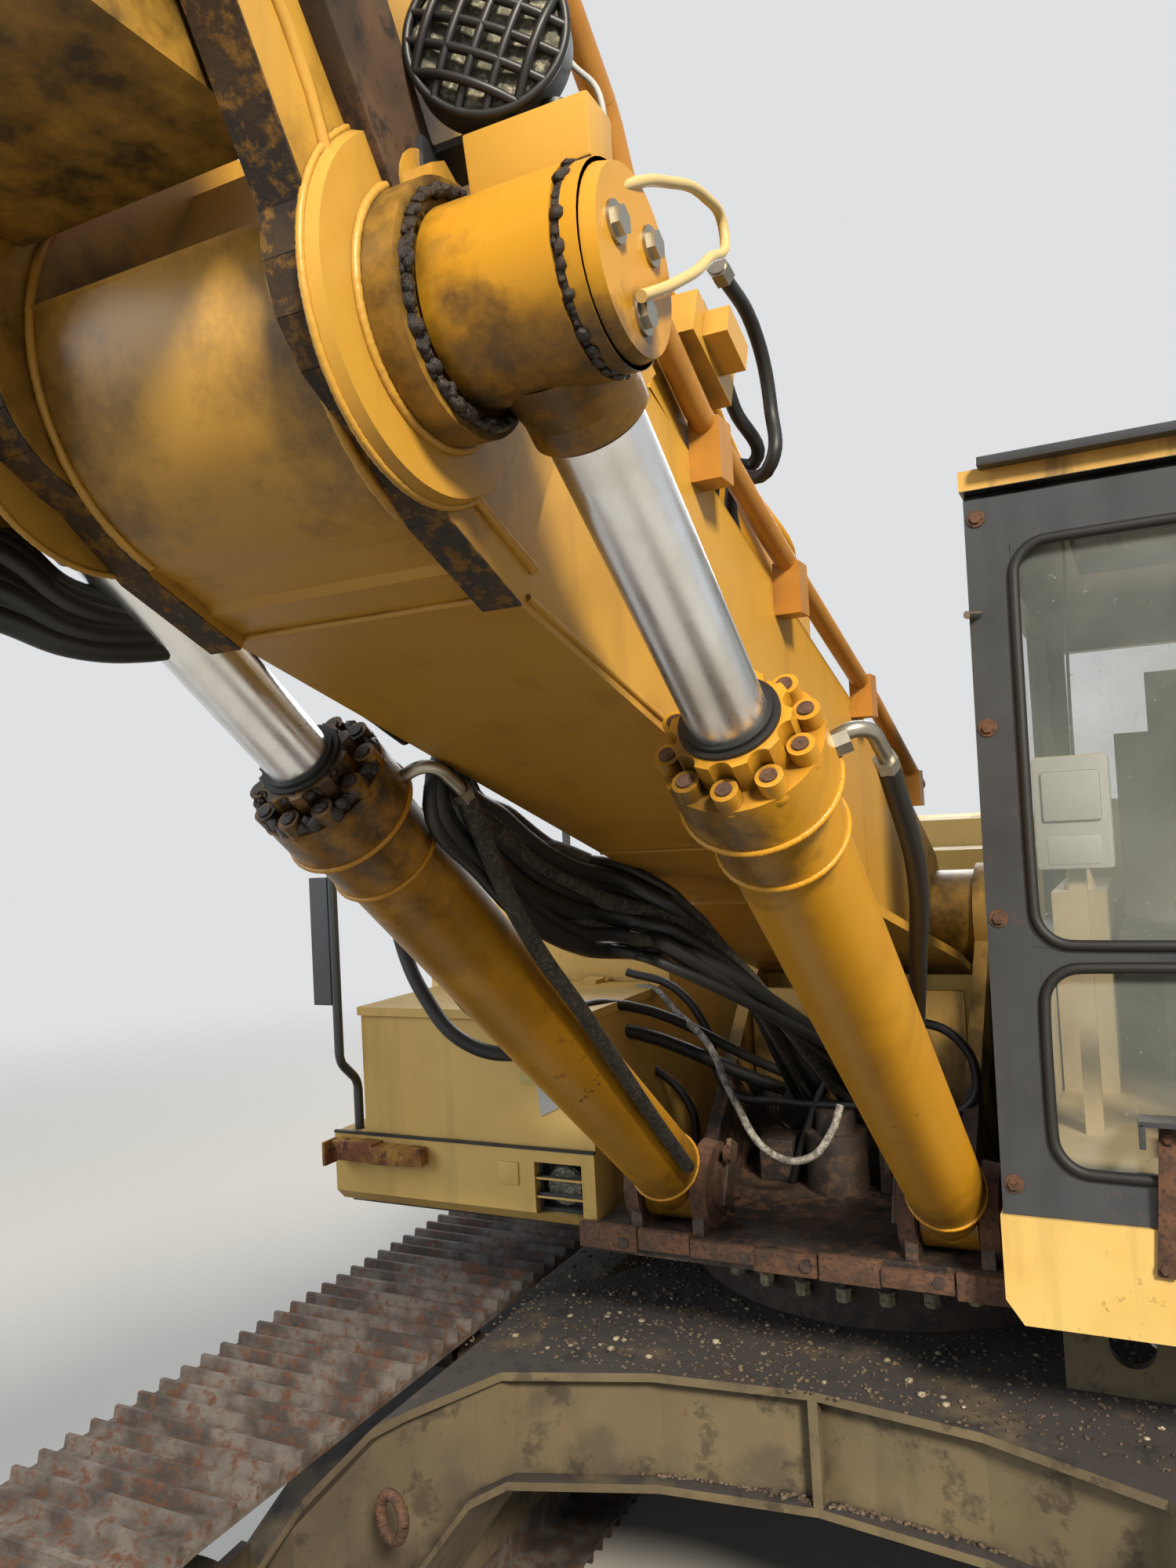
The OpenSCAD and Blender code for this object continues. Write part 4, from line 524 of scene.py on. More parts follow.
def path_mesh(name, paths, radius, sides=6):
    """Round tubes along smooth paths, as one mesh."""
    curve = bpy.data.curves.new(name, "CURVE")
    curve.dimensions = "3D"
    curve.bevel_depth = radius
    curve.bevel_resolution = sides
    curve.resolution_u = 8
    curve.use_fill_caps = True
    for places in paths:
        spline = curve.splines.new("BEZIER")
        spline.bezier_points.add(len(places) - 1)
        for point, place in zip(spline.bezier_points, places):
            point.co = place
            point.handle_left_type = point.handle_right_type = "AUTO"
    piece = bpy.data.objects.new(name, curve)
    bpy.context.scene.collection.objects.link(piece)
    return evaluated(piece, name)


def shaken(rng):
    """A random push, up to 1 along each axis."""
    return Vector((rng.uniform(-1, 1), rng.uniform(-1, 1), rng.uniform(-1, 1)))


def hoses(name, paths, radius, body, material=None):
    """Hoses, pipes or wires of one radius as one piece."""
    return shown(path_mesh(name, paths, radius), name, material or RUBBER, body, 60)


def bead(name, path, radius, body, material=None, seed=1):
    """A weld bead: a low ridge along a path, with the ripples of the pool."""
    rng = random.Random(seed)
    mesh = path_mesh(name, [path], radius, 2)
    for vertex in mesh.vertices:
        vertex.co += shaken(rng) * radius * 0.1
    return shown(mesh, name, material or BOOM_YELLOW, body, 60)


def clods(name, places, size, body, material=None, seed=1, slot="cast_steel", fine=2):
    """Lumps of grease or mud, each squashed on what it sticks to: places are (place, outward way)."""
    rng = random.Random(seed)
    work = bmesh.new()
    for place, way in places:
        r = size * rng.uniform(0.55, 1.25)
        shift = shaken(rng) * size * 0.4
        matrix = facing(place + shift, way) @ Matrix.Diagonal((1, rng.uniform(0.7, 1.3), 0.55, 1))
        put(work, ("ball", dict(subdivisions=fine, radius=r)), matrix)
    for vertex in work.verts:
        vertex.co += shaken(rng) * size * 0.13
    return from_bmesh(work, name, material or GREASE, body, 80, slot)


def ring_places(centre, way, radius, count, start=0.0):
    """Places round a ring, square to a way."""
    matrix = facing(centre, way)
    return [matrix @ Vector((radius * math.cos(a), radius * math.sin(a), 0))
            for a in (math.radians(start + 360 * k / count) for k in range(count))]


# Named inputs of the fasteners' tree, with the sizes that they start from in metres
FASTENER_SIZES = (("Head radius", 0.012), ("Head height", 0.01), ("Washer radius", 0.016))
WASHER_T = 0.006


def fastener_tree():
    """Heads and washers on points that carry the way they face."""
    tree = bpy.data.node_groups.new("fasteners", "GeometryNodeTree")
    face = tree.interface
    face.new_socket("Geometry", in_out="INPUT", socket_type="NodeSocketGeometry")
    for label, value in FASTENER_SIZES:
        face.new_socket(label, in_out="INPUT", socket_type="NodeSocketFloat").default_value = value
    face.new_socket("Sides", in_out="INPUT", socket_type="NodeSocketInt").default_value = 6
    face.new_socket("Finish", in_out="INPUT", socket_type="NodeSocketMaterial")
    face.new_socket("Geometry", in_out="OUTPUT", socket_type="NodeSocketGeometry")
    given = tree.nodes.new("NodeGroupInput").outputs
    head = add(tree, "GeometryNodeMeshCylinder", {"Vertices": given["Sides"], "Depth": given["Head height"],
                                                  "Radius": given["Head radius"]})
    half = add(tree, "ShaderNodeMath", {0: given["Head height"], 1: 0.5}, operation="MULTIPLY")
    lift = add(tree, "ShaderNodeCombineXYZ", {"Z": half.outputs[0]})
    raised = add(tree, "GeometryNodeTransform", {"Geometry": head.outputs["Mesh"],
                                                 "Translation": lift.outputs[0]})
    washer = add(tree, "GeometryNodeMeshCylinder", {"Vertices": 20, "Depth": WASHER_T,
                                                    "Radius": given["Washer radius"]})
    both = add(tree, "GeometryNodeJoinGeometry")
    tree.links.new(raised.outputs["Geometry"], both.inputs[0])
    tree.links.new(washer.outputs["Mesh"], both.inputs[0])
    way = add(tree, "GeometryNodeInputNamedAttribute", {"Name": "facing"}, data_type="FLOAT_VECTOR")
    turn = add(tree, "FunctionNodeAlignRotationToVector", {"Vector": way.outputs["Attribute"]}, axis="Z")
    copies = add(tree, "GeometryNodeInstanceOnPoints", {"Points": given["Geometry"],
                                                        "Instance": both.outputs[0],
                                                        "Rotation": turn.outputs[0]})
    real = add(tree, "GeometryNodeRealizeInstances", {"Geometry": copies.outputs[0]})
    painted = add(tree, "GeometryNodeSetMaterial", {"Geometry": real.outputs[0], "Material": given["Finish"]})
    out = tree.nodes.new("NodeGroupOutput")
    tree.links.new(painted.outputs[0], out.inputs[0])
    return tree


FASTENERS = fastener_tree()


def grown(name, places, tree, sizes, material, body, attributes, smooth=30):
    """The plain mesh that a Geometry Nodes tree makes from points with attributes."""
    mesh = bpy.data.meshes.new(name)
    mesh.from_pydata([tuple(p) for p in places], [], [])
    for label, values in attributes.items():
        layer = mesh.attributes.new(label, "FLOAT_VECTOR", "POINT")
        layer.data.foreach_set("vector", [c for v in values for c in v])
    piece = bpy.data.objects.new(name, mesh)
    bpy.context.scene.collection.objects.link(piece)
    modifier = piece.modifiers.new("make", "NODES")
    modifier.node_group = tree
    for item in tree.interface.items_tree:
        if item.in_out == "INPUT" and item.name in sizes:
            modifier[item.identifier] = sizes[item.name]
        elif item.in_out == "INPUT" and item.name == "Finish":
            modifier[item.identifier] = material
    return shown(evaluated(piece, name), name, material, body, smooth)


def bolts(name, spots, head, body, material=None, washer=None, height=None, sides=6):
    """Bolt heads with washers on (place, way) spots; head is half the width over corners, in metres."""
    sizes = {"Head radius": head, "Head height": height or head * 0.7,
             "Washer radius": washer or head * 1.35, "Sides": sides}
    return grown(name, [p for p, _ in spots], FASTENERS, sizes, material or RUST, body,
                 {"facing": [Vector(w).normalized() for _, w in spots]})


X = Vector((1, 0, 0))
UP = Vector((0, 0, 1))
BACK = Vector((0, 1, 0))
SIDES = ((1, "left"), (-1, "right"))


def path_ring(centre, way, radius, count):
    """Places round a closed ring, the first one repeated at the end."""
    ring = ring_places(centre, way, radius, count)
    return ring + ring[:1]


# Boom cylinders

LIFT_FOOT = at(0, -0.93, 1.499)
LIFT_EYE = base(2.95, -0.306)
LIFT_WAY = (LIFT_EYE - LIFT_FOOT).normalized()
LIFT_SIDE = X.cross(LIFT_WAY)
# From the machine's middle to each cylinder, and from its foot pin to the gland's outer face
LIFT_X = 0.35
GLAND = 1.78
BARREL_R = 0.09
LIFT_ROD_R = 0.0525
EYE_R = 0.09
EYE_HALF = 0.065
GLAND_BOLTS = 10
GLAND_BOLT_R = 0.0185
GLAND_BOLT_H = 0.034


def on_lift(side, t, x=0.0, v=0.0):
    """Along a boom cylinder from its foot; x out from the machine's middle, v square to both."""
    return LIFT_FOOT + LIFT_WAY * t + X * side * (LIFT_X + x) + LIFT_SIDE * v


# Grease stains as places, reaches and shares: the left cylinder is cleaner, the right one soaked at its gland
LEFT_STAINS = [(on_lift(1, GLAND - 0.06, -0.05, 0.08), 0.1, 0.75),
               (on_lift(1, GLAND - 0.2, -0.06, 0.07), 0.12, 0.8), (on_lift(1, 0.1), 0.2, 0.5)]
RIGHT_STAINS = [(on_lift(-1, GLAND - 0.03), 0.2, 0.95), (on_lift(-1, GLAND - 0.2), 0.17, 0.6),
                (on_lift(-1, GLAND - 0.42, 0, 0.07), 0.15, 0.4),
                (on_lift(-1, GLAND - 0.7, 0.0, 0.08), 0.13, 0.25), (on_lift(-1, 0.05), 0.22, 0.6)]
BARREL_FINISH = {1: greased(CYLINDER_YELLOW, "left_boom_cylinder_enamel", LEFT_STAINS),
                 -1: greased(CYLINDER_YELLOW, "right_boom_cylinder_enamel", RIGHT_STAINS)}
EYE_FINISH = {side: greased(CYLINDER_YELLOW, "greasy_rod_eye_" + word,
                            [(LIFT_EYE + X * side * 0.285 + UP * -0.02, 0.105, 0.95),
                             (LIFT_EYE + X * side * 0.36 - UP * 0.13, 0.12, 0.85),
                             (LIFT_EYE + X * side * 0.435 - UP * 0.085, 0.06, 0.8)])
              for side, word in SIDES}
for side, word in SIDES:
    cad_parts["lift_barrel_" + word].data.materials[0] = BARREL_FINISH[side]

# The same grease on the boom, round both rod eyes, at the boom's foot and under the knee
BASE_STAINS = ([(LIFT_EYE + X * side * 0.24, 0.2, 0.8) for side in (1, -1)]
               + [(base(2.98, -0.2, side * 0.24), 0.1, 0.6) for side in (1, -1)]
               + [(base(0.1, -0.1, 0.0), 0.45, 0.75)])
FORE_STAINS = [(fore(0.0, -0.05, 0.0), 0.42, 0.95), (fore(0.1, 0.5, 0.0), 0.25, 0.7)]
for node, name, stains in (("base_boom", "stained_boom_enamel", BASE_STAINS),
                           ("fore_boom", "stained_fore_boom_enamel", FORE_STAINS)):
    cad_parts[node].data.materials[0] = greased(BOOM_YELLOW, name, stains)


def lift_gland(side, word):
    """Socket screws with painted shade in their sockets, wiper and weld rings of a boom cylinder's barrel."""
    barrel = "lift_barrel_" + word
    ring = ring_places(on_lift(side, GLAND - 0.0595), LIFT_WAY, BARREL_R + 0.0045, GLAND_BOLTS, 18)
    bolts("gland_bolts_" + word, [(p, LIFT_WAY) for p in ring], GLAND_BOLT_R, barrel, BARREL_FINISH[side],
          height=GLAND_BOLT_H, sides=20, washer=0.0195)
    # Painted shade: dark discs on the screw heads stand for the sockets' recesses, coloured as the rust and
    # grease in them
    socket_shades = [(p + LIFT_WAY * (GLAND_BOLT_H + 0.0002), LIFT_WAY) for p in ring]
    bolts("gland_socket_shade_" + word, socket_shades, 0.0105, barrel, RUST if side > 0 else GREASE, height=0.0012,
          washer=0.0108)
    inner, lip, outer = (on_lift(side, GLAND + out) for out in (-0.002, 0.006, 0.012))
    rods("gland_wiper_" + word, [(inner, lip, 0.068), (lip, outer, 0.06)], SEAL, barrel, 48)
    for k, (t, extra) in enumerate(((GLAND - 0.14, 0.022), (GLAND - 0.25, 0.006), (0.115, 0.0))):
        ring = path_ring(on_lift(side, t), LIFT_WAY, BARREL_R + extra, 40)
        bead(f"barrel_weld_{word}_{k}", ring, 0.005, barrel, CYLINDER_YELLOW, seed=k)


def lift_eye_cap(side, word):
    """Cap plate with three bolts on a rod eye, and grease pressed out at both faces."""
    rod = "lift_rod_" + word
    out = X * side
    face = LIFT_EYE + out * LIFT_X
    cap = face + out * 0.089
    rods("eye_cap_" + word, [(face + out * 0.0735, cap, 0.0888), (cap, cap + out * 0.014, 0.084, 0.081)],
         EYE_FINISH[side], rod, 48, slot="yellow_paint")
    rods("eye_cap_grease_" + word, [(face + out * 0.0655, face + out * 0.0735, 0.0885)], GREASE, rod, 48)
    bolts("eye_cap_bolts_" + word, [(p + out * 0.014, out) for p in ring_places(cap, out, 0.045, 3, 40)],
          0.0135, rod, ZINC if side > 0 else RUST)
    for x, r, count, size, part in ((0.07, 0.0885, 90, 0.006, "outer"),
                                    (-0.0685, 0.104, 260, 0.0085, "inner")):
        flakes = [(p, p - face - out * x) for p in ring_places(face + out * x, out, r, count)]
        clods(f"eye_grease_{part}_{word}", flakes, size, rod, seed=count, fine=1)


def gland_grease(side, word):
    """Old grease caked round a gland."""
    for t, r, count, size in ((GLAND - 0.045, 0.1, 220, 0.014), (GLAND - 0.012, 0.07, 120, 0.011)):
        middle = on_lift(side, t)
        flakes = [(p, p - middle) for p in ring_places(middle, LIFT_WAY, r, count)]
        clods(f"gland_grease_{count}", flakes, size, "lift_barrel_" + word, seed=count, fine=1)


for side, word in SIDES:
    lift_gland(side, word)
    lift_eye_cap(side, word)
gland_grease(-1, "right")


# Rod eyes and the single cylinders

EYE_COAT = 0.0015


def eye_skin(body, centre, way, x, eye_r, rod_r, half):
    """Painted rod eye with its collar, over the chromed rod: way points from the eye into the barrel."""
    mid = centre + X * x
    finish = EYE_FINISH[1 if x > 0 else -1] if x else CYLINDER_YELLOW
    reach = X * (half + 0.0004)
    rods("eye_paint_" + body, [(mid - reach, mid + reach, eye_r + EYE_COAT)], finish, body, 64,
         slot="yellow_paint")
    stops = (eye_r * 0.62, eye_r + 0.02, eye_r + 0.0455, eye_r + 0.05)
    root, step, end, rust_end = (mid + way * t for t in stops)
    rods("eye_collar_" + body, [(root, step, rod_r + 0.022, rod_r + 0.0095), (step, end, rod_r + 0.0095)],
         finish, body, 64, slot="yellow_paint")
    rods("eye_neck_" + body, [(end, rust_end, rod_r + 0.0045)], RUST, body, 64)


def on_stick(u, v):
    """A place along the stick: u down from its pin, v square to it and forwards."""
    c, s = math.cos(math.radians(STICK_LEAN)), math.sin(math.radians(STICK_LEAN))
    pin = fore(FORE_LEN, 0)
    return Vector((0, pin.y - u * s - v * c, pin.z - u * c + v * s))


# Bucket linkage along the stick: the rocker's pin, the link's pin on the bucket, and the joint between them
ROCKER_LEN = 0.62
LINK_LEN = 0.58
BUCKET_ARM = 0.46
BUCKET_TURN = math.radians(21)
ROCKER_AT = (2.32, 0.03)
LINK_AT = (STICK_LEN + BUCKET_ARM * math.cos(BUCKET_TURN), BUCKET_ARM * math.sin(BUCKET_TURN))
link_run = math.dist(ROCKER_AT, LINK_AT)
link_turn = math.acos((ROCKER_LEN ** 2 + link_run ** 2 - LINK_LEN ** 2) / (2 * ROCKER_LEN * link_run))
joint_turn = math.atan2(LINK_AT[1] - ROCKER_AT[1], LINK_AT[0] - ROCKER_AT[0]) + link_turn
CURL_EYE = on_stick(ROCKER_AT[0] + ROCKER_LEN * math.cos(joint_turn),
                    ROCKER_AT[1] + ROCKER_LEN * math.sin(joint_turn))

# Single cylinders: foot, eye, barrel length, radii of barrel, rod and eye, half the eye's width
SINGLES = (("adjust", base(1.3, 0.36), fore(0.05, 0.52), 1.64, 0.095, 0.055, 0.095, 0.065),
           ("arm", fore(0.4, 0.43), on_stick(-0.8, 0), 1.715, 0.097, 0.057, 0.095, 0.065),
           ("curl", on_stick(0.15, 0.43), CURL_EYE, 1.6, 0.085, 0.05, 0.08, 0.06))


def single_gland(body, foot, way, length, barrel_r, rod_r):
    """Wiper, socket screws and the steel pipe that feeds the rod end."""
    wiper = (foot + way * (length - 0.002), foot + way * (length + 0.01), rod_r + 0.014)
    rods("wiper_" + body, [wiper], SEAL, body, 40)
    ring = ring_places(foot + way * (length - 0.0345), way, barrel_r + 0.007, GLAND_BOLTS, 18)
    spots = [(p, way) for p in ring]
    bolts("gland_bolts_" + body, spots, 0.0125, body, CYLINDER_YELLOW, height=0.016, sides=16, washer=0.013)
    port, off = X * barrel_r * 0.8, X * (barrel_r + 0.03)
    pipe = [foot + way * t + out for t, out in
            ((0.16, port), (0.19, off), (0.5, off), (length - 0.36, off), (length - 0.3, port))]
    hoses("side_pipe_" + body, [pipe], 0.013, body, CYLINDER_YELLOW)


for side, word in SIDES:
    eye_skin("lift_rod_" + word, LIFT_EYE, -LIFT_WAY, side * LIFT_X, EYE_R, LIFT_ROD_R, EYE_HALF)
for word, foot, eye, length, barrel_r, rod_r, eye_r, eye_half in SINGLES:
    eye_skin(word + "_rod", eye, (foot - eye).normalized(), 0, eye_r, rod_r, eye_half)
for word, foot, eye, length, barrel_r, rod_r, eye_r, eye_half in SINGLES:
    single_gland(word + "_barrel", foot, (eye - foot).normalized(), length, barrel_r, rod_r)

# Knee: keeper bars, weld beads of the doubled ears and of the wrap, bosses of the rod eyes

# The ear's lower edge along the base boom, from the bottom plate to the knee pin
EAR_LINE = [(2.70, -0.466), (2.85, -0.458), (2.952, -0.4275), (2.985, -0.4255), (3.03, -0.4175),
            (3.07, -0.395), (3.1, -0.36), (3.117, -0.322), (3.3, -0.186), (3.525, -0.03)]
EAR_IN, EAR_OUT = 0.1765, 0.2265
EAR_WELD_X = 0.2255
KEEPER_IN, KEEPER_T = 0.2225, 0.0275
# Outer faces of what sits on the keeper bar, a hair clear of it
KEEPER_OUT = KEEPER_IN + KEEPER_T + 0.0002
KEEPER_AT = (3.01, -0.21)
WRAP_AT, WRAP_R = (2.86, -0.215), 0.2365
EYE_FLANGE_X, EYE_FLANGE_R = 0.2252, 0.172
# The bottom plate is level along the boom up to here and rises behind it
BOTTOM_BEND = 2.74


def keeper_bar(side, word):
    """Round-ended bar that keeps the knee pin from turning."""
    pin, bolt = base(BASE_LEN, 0), base(*KEEPER_AT)
    lean = (bolt - pin).normalized()
    across = X.cross(lean)
    outline = []
    for middle, r, start in ((pin, 0.062, 90), (bolt, 0.05, -90)):
        for k in range(13):
            turn = math.radians(start + 15 * k)
            spread = lean * math.cos(turn) * r + across * math.sin(turn) * r
            outline.append(middle + X * side * KEEPER_IN + spread)
    plates("keeper_bar_" + word, [(outline, X * side * KEEPER_T)], BROWN_BAR, "base_boom", 0.003)


def knee_side(side, word):
    """Everything on one of the base boom's ears: bolts, greasy edge darkened with painted shade, keeper bar,
    flange and welds.
    """
    bolts("keeper_bolt_" + word, [(base(*KEEPER_AT, side * KEEPER_OUT), X * side)], 0.026, "base_boom",
          BOOM_YELLOW, washer=0.04, height=0.024)
    bolts("knee_pin_cap_" + word, [(base(BASE_LEN, 0, side * KEEPER_OUT), X * side)], 0.05, "base_boom", RUST,
          washer=0.055, height=0.006, sides=32)
    inset = [base(u - 0.012, v + 0.052, side * EAR_WELD_X) for u, v in EAR_LINE]
    bead("ear_doubler_weld_" + word, inset, 0.007, "base_boom", seed=3)
    # The ear's lower edge face, greasy and darkened with painted shade, as it faces down
    strips = []
    for (u, v), (u2, v2) in zip(EAR_LINE, EAR_LINE[1:]):
        outward = Vector((v2 - v, u - u2)).normalized() * 0.0025
        strip = [base(u, v, side * EAR_IN), base(u, v, side * EAR_OUT), base(u2, v2, side * EAR_OUT),
                 base(u2, v2, side * EAR_IN)]
        strips.append((strip, base(u + outward.x, v + outward.y) - base(u, v)))
    plates("ear_greasy_shaded_edge_" + word, strips, GREASY_SHADED_EDGE, "base_boom")
    keeper_bar(side, word)
    wrap = [base(WRAP_AT[0] + WRAP_R * math.cos(a), WRAP_AT[1] + WRAP_R * math.sin(a), side * 0.171)
            for a in (math.radians(d) for d in range(-90, 12, 8))]
    bead("wrap_weld_" + word, wrap, 0.0055, "base_boom", seed=9)
    flange = LIFT_EYE + X * side * EYE_FLANGE_X
    rods("eye_flange_" + word, [(flange, flange + X * side * 0.016, EYE_FLANGE_R, EYE_FLANGE_R - 0.006)],
         BOOM_YELLOW, "base_boom", 72, slot="yellow_paint")
    for part, out, r, count, thick, seed in (("flange", 0.001, EYE_FLANGE_R, 48, 0.004, 11),
                                             ("boss", 0.017, 0.120, 40, 0.005, 12)):
        ring = path_ring(flange + X * side * out, X, r, count)
        bead(f"eye_{part}_weld_{word}", ring, thick, "base_boom", seed=seed)
    low = [(u, -0.45 + (2.70 - u) * 0.0988 if u < BOTTOM_BEND else -0.45) for u in (2.66, 2.2, 1.7, 1.2)]
    seam = [base(u, v + 0.016, side * 0.2053) for u, v in low]
    bead("side_seam_" + word, seam, 0.005, "base_boom", seed=14)


for side, word in SIDES:
    knee_side(side, word)
for part, u, v, outer, inner, seed in (("front", 2.70, -0.4515, 0.17, 0.06, 15),
                                       ("rear", 1.62, -0.3465, 0.2, 0.07, 16)):
    seam = [base(u, v, x) for x in (-outer, -inner, inner, outer)]
    bead("bottom_seam_" + part, seam, 0.005, "base_boom", seed=seed)

# Elbow and hose that feed the rod end of each boom cylinder: along it, out from it and square to both
GLAND_ELBOW = ((1.655, 0.08, -0.05), (1.655, 0.135, -0.075), (1.60, 0.15, -0.085), (1.555, 0.15, -0.087))
GLAND_HOSE = {1: ((1.3, 0.14, -0.1), (0.9, 0.07, -0.15), (0.5, 0.0, -0.15), (0.2, -0.02, -0.088)),
              -1: ((1.3, 0.14, -0.02), (0.9, 0.125, 0.0), (0.5, 0.11, 0.02), (0.2, 0.1, 0.03))}
for side, word in SIDES:
    body = "lift_barrel_" + word
    elbow = [on_lift(side, t, side * out, v) for t, out, v in GLAND_ELBOW]
    hoses("gland_elbow_" + word, [elbow], 0.0115, body, ZINC)
    nuts = [(elbow[0] + X * side * 0.02, elbow[1] - elbow[0]), (elbow[3], elbow[2] - elbow[3])]
    bolts("elbow_nuts_" + word, nuts, 0.018, body, ZINC, height=0.022, washer=0.015)
    route = [elbow[3]] + [on_lift(side, t, side * out, v) for t, out, v in GLAND_HOSE[side]]
    hoses("gland_hose_" + word, [route], 0.0165, body, RUBBER if side > 0 else HOSE_DIRT)

# Work lamp: convex lens behind a square grille, its knob, wire and bracket

LAMP = at(0.315, -2.814, 3.173)
LAMP_TURN = math.radians(18)
LAMP_WAY = Vector((math.sin(LAMP_TURN), -math.cos(LAMP_TURN), 0))
LAMP_SIDE = LAMP_WAY.cross(UP)
LENS_FRONT = 0.034
GRILLE_R = 0.0745
GRILLE_PITCH = 0.026
GRILLE_TURN = Matrix.Rotation(math.radians(-24), 3, LAMP_WAY)
# Corners of the bracket plate in the photograph, on the plane it stands in
BRACKET_CORNERS = ((588, 172), (748, 112), (753, 196), (600, 256))


def lamp_grille():
    """Wire grille: a ring and two crossed rows of bowed wires."""
    wires = [path_ring(LAMP + LAMP_WAY * LENS_FRONT, LAMP_WAY, GRILLE_R, 40)]
    for k in range(-2, 3):
        off = k * GRILLE_PITCH
        reach = math.sqrt((GRILLE_R - 0.001) ** 2 - off ** 2)
        for across, along in ((LAMP_SIDE, UP), (UP, LAMP_SIDE)):
            spread, run = GRILLE_TURN @ across, GRILLE_TURN @ along
            wires.append([LAMP + spread * off + run * t * reach
                          + LAMP_WAY * (LENS_FRONT + 0.012 * (1 - t * t)) for t in (-1, -0.5, 0, 0.5, 1)])
    hoses("lamp_grille", wires, 0.0045, "base_boom", BLACK_PLASTIC)


rods("lamp_lens", [(LAMP + LAMP_WAY * 0.0302, LAMP + LAMP_WAY * LENS_FRONT, 0.07, 0.066)], LENS, "base_boom",
     48, slot="cab_glazing")
lamp_grille()
knob = LAMP + LAMP_SIDE * -0.055 - UP * 0.088
rods("lamp_knob", [(knob - LAMP_WAY * 0.02, knob + LAMP_WAY * 0.012, 0.026),
                   (knob + UP * 0.03, knob - UP * 0.03, 0.02)], BLACK_PLASTIC, "base_boom", 24)
bolts("lamp_knob_bolt", [(knob + LAMP_WAY * 0.012, LAMP_WAY)], 0.011, "base_boom", RUST)
bracket = [sight(px, py, y=-2.85) for px, py in BRACKET_CORNERS]
plates("lamp_bracket_plate", [(bracket, BACK * 0.05)], BOOM_YELLOW, "base_boom", 0.003, slot="yellow_paint")
wire = [LAMP + LAMP_SIDE * -0.07 - LAMP_WAY * 0.02, LAMP + LAMP_SIDE * -0.1 - UP * 0.06,
        LAMP + LAMP_SIDE * -0.085 - UP * 0.12 - LAMP_WAY * 0.03, at(0.25, -2.74, 3.12)]
hoses("lamp_wire", [wire], 0.003, "base_boom", PALE_GREY)

# Hoses: their routes are places in the photograph, in pixels, each on a plane given in metres

# Cream hose that brings grease from the valve block to the left rod eye: pixel, distance left of the middle
GREASE_ROUTE = ((762, 252, 0.44), (800, 236, 0.45), (850, 232, 0.455), (900, 252, 0.46), (922, 288, 0.46),
                (902, 332, 0.465), (860, 362, 0.465), (818, 378, 0.462))
line = [sight(px, py, x=x) for px, py, x in GREASE_ROUTE]
hoses("grease_hose", [line], 0.0055, "lift_rod_left", CREAM_HOSE)

# Hoses of the valve block on the boom's top, with their fittings
VALVE_ROUTES = (((915, 340), (965, 430), (983, 520), (984, 590)),
                ((884, 388), (912, 450), (936, 520), (962, 590)))
for k, line in enumerate(VALVE_ROUTES):
    path = [sight(px, py, x=0.27 - 0.05 * k) for px, py in line]
    path += [base(1.96 + 0.06 * k, 0.25, 0.16), base(1.8, 0.1, 0.16)]
    hoses(f"valve_hose_{k}", [path], 0.0125, "base_boom")
    bolts(f"valve_nut_{k}", [(path[0], path[1] - path[0])], 0.019, "base_boom", ZINC, height=0.03,
          washer=0.014)

# Hose bundle along the boom's right side, slack where it passes the knee: pixel, how far the hoses spread
# there, and distance left of the middle
KNEE_ROUTE = ((-150, 690, 1.6, -0.42), (0, 735, 1.3, -0.40), (90, 790, 1.0, -0.38), (190, 800, 0.8, -0.36),
              (300, 790, 0.5, -0.33), (420, 860, 0.35, -0.29), (520, 930, 0.25, -0.26))
KNEE_HOSES = 8
rng = random.Random(7)
for k in range(KNEE_HOSES):
    lift = k * 11 - 40
    path = [sight(px, py + lift * spread + rng.uniform(-6, 6), x=x) for px, py, spread, x in KNEE_ROUTE]
    hoses(f"knee_bundle_{k}", [path], 0.014 + 0.003 * (k % 3), "base_boom")

# Hoses that hang from the boom's right side down to the swing deck: pixel of the first hose, way to the
# last one, and distance left of the middle
FOOT_ROUTE = ((598, 985, -40, 12, -0.232), (645, 1040, -25, 75, -0.238), (725, 1088, 0, 110, -0.232),
              (805, 1108, 0, 112, -0.2), (862, 1140, -10, 85, -0.12))
FOOT_HOSES = 13
rng = random.Random(11)
for k in range(FOOT_HOSES):
    t = k / (FOOT_HOSES - 1)
    line = [(px + over_x * t, py + over_y * t, x) for px, py, over_x, over_y, x in FOOT_ROUTE]
    path = [sight(px + rng.uniform(-9, 9), py + rng.uniform(-9, 9), x=x) for px, py, x in line]
    path = [base(2.0 - 0.03 * k, -0.17, -0.235)] + path + [at(-0.16 + 0.03 * k, -0.42, 1.60 + 0.02 * (k % 5))]
    finish = HOSE_DIRT if k % 4 == 1 else None
    piece = hoses(f"foot_hose_{k}", [path], 0.0125 + 0.0035 * (k % 3), None, finish)
    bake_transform(piece)

# Two larger hoses that loop out beside the right cylinder: pixel and distance from the swing axis
LOOP_ROUTE = ((506, 1180, -1.16), (540, 1268, -1.14), (598, 1332, -1.12), (668, 1343, -1.05),
              (745, 1310, -0.85))
for k in range(2):
    path = [base(2.1, -0.2, -0.24), sight(540 + 20 * k, 1075, x=-0.46)]
    path += [sight(px + 22 * k, py - 30 * k, y=y) for px, py, y in LOOP_ROUTE]
    path.append(at(-0.2, -0.45, 1.64 + 0.05 * k))
    piece = hoses(f"loop_hose_{k}", [path], 0.02 - 0.005 * k, None)
    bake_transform(piece)

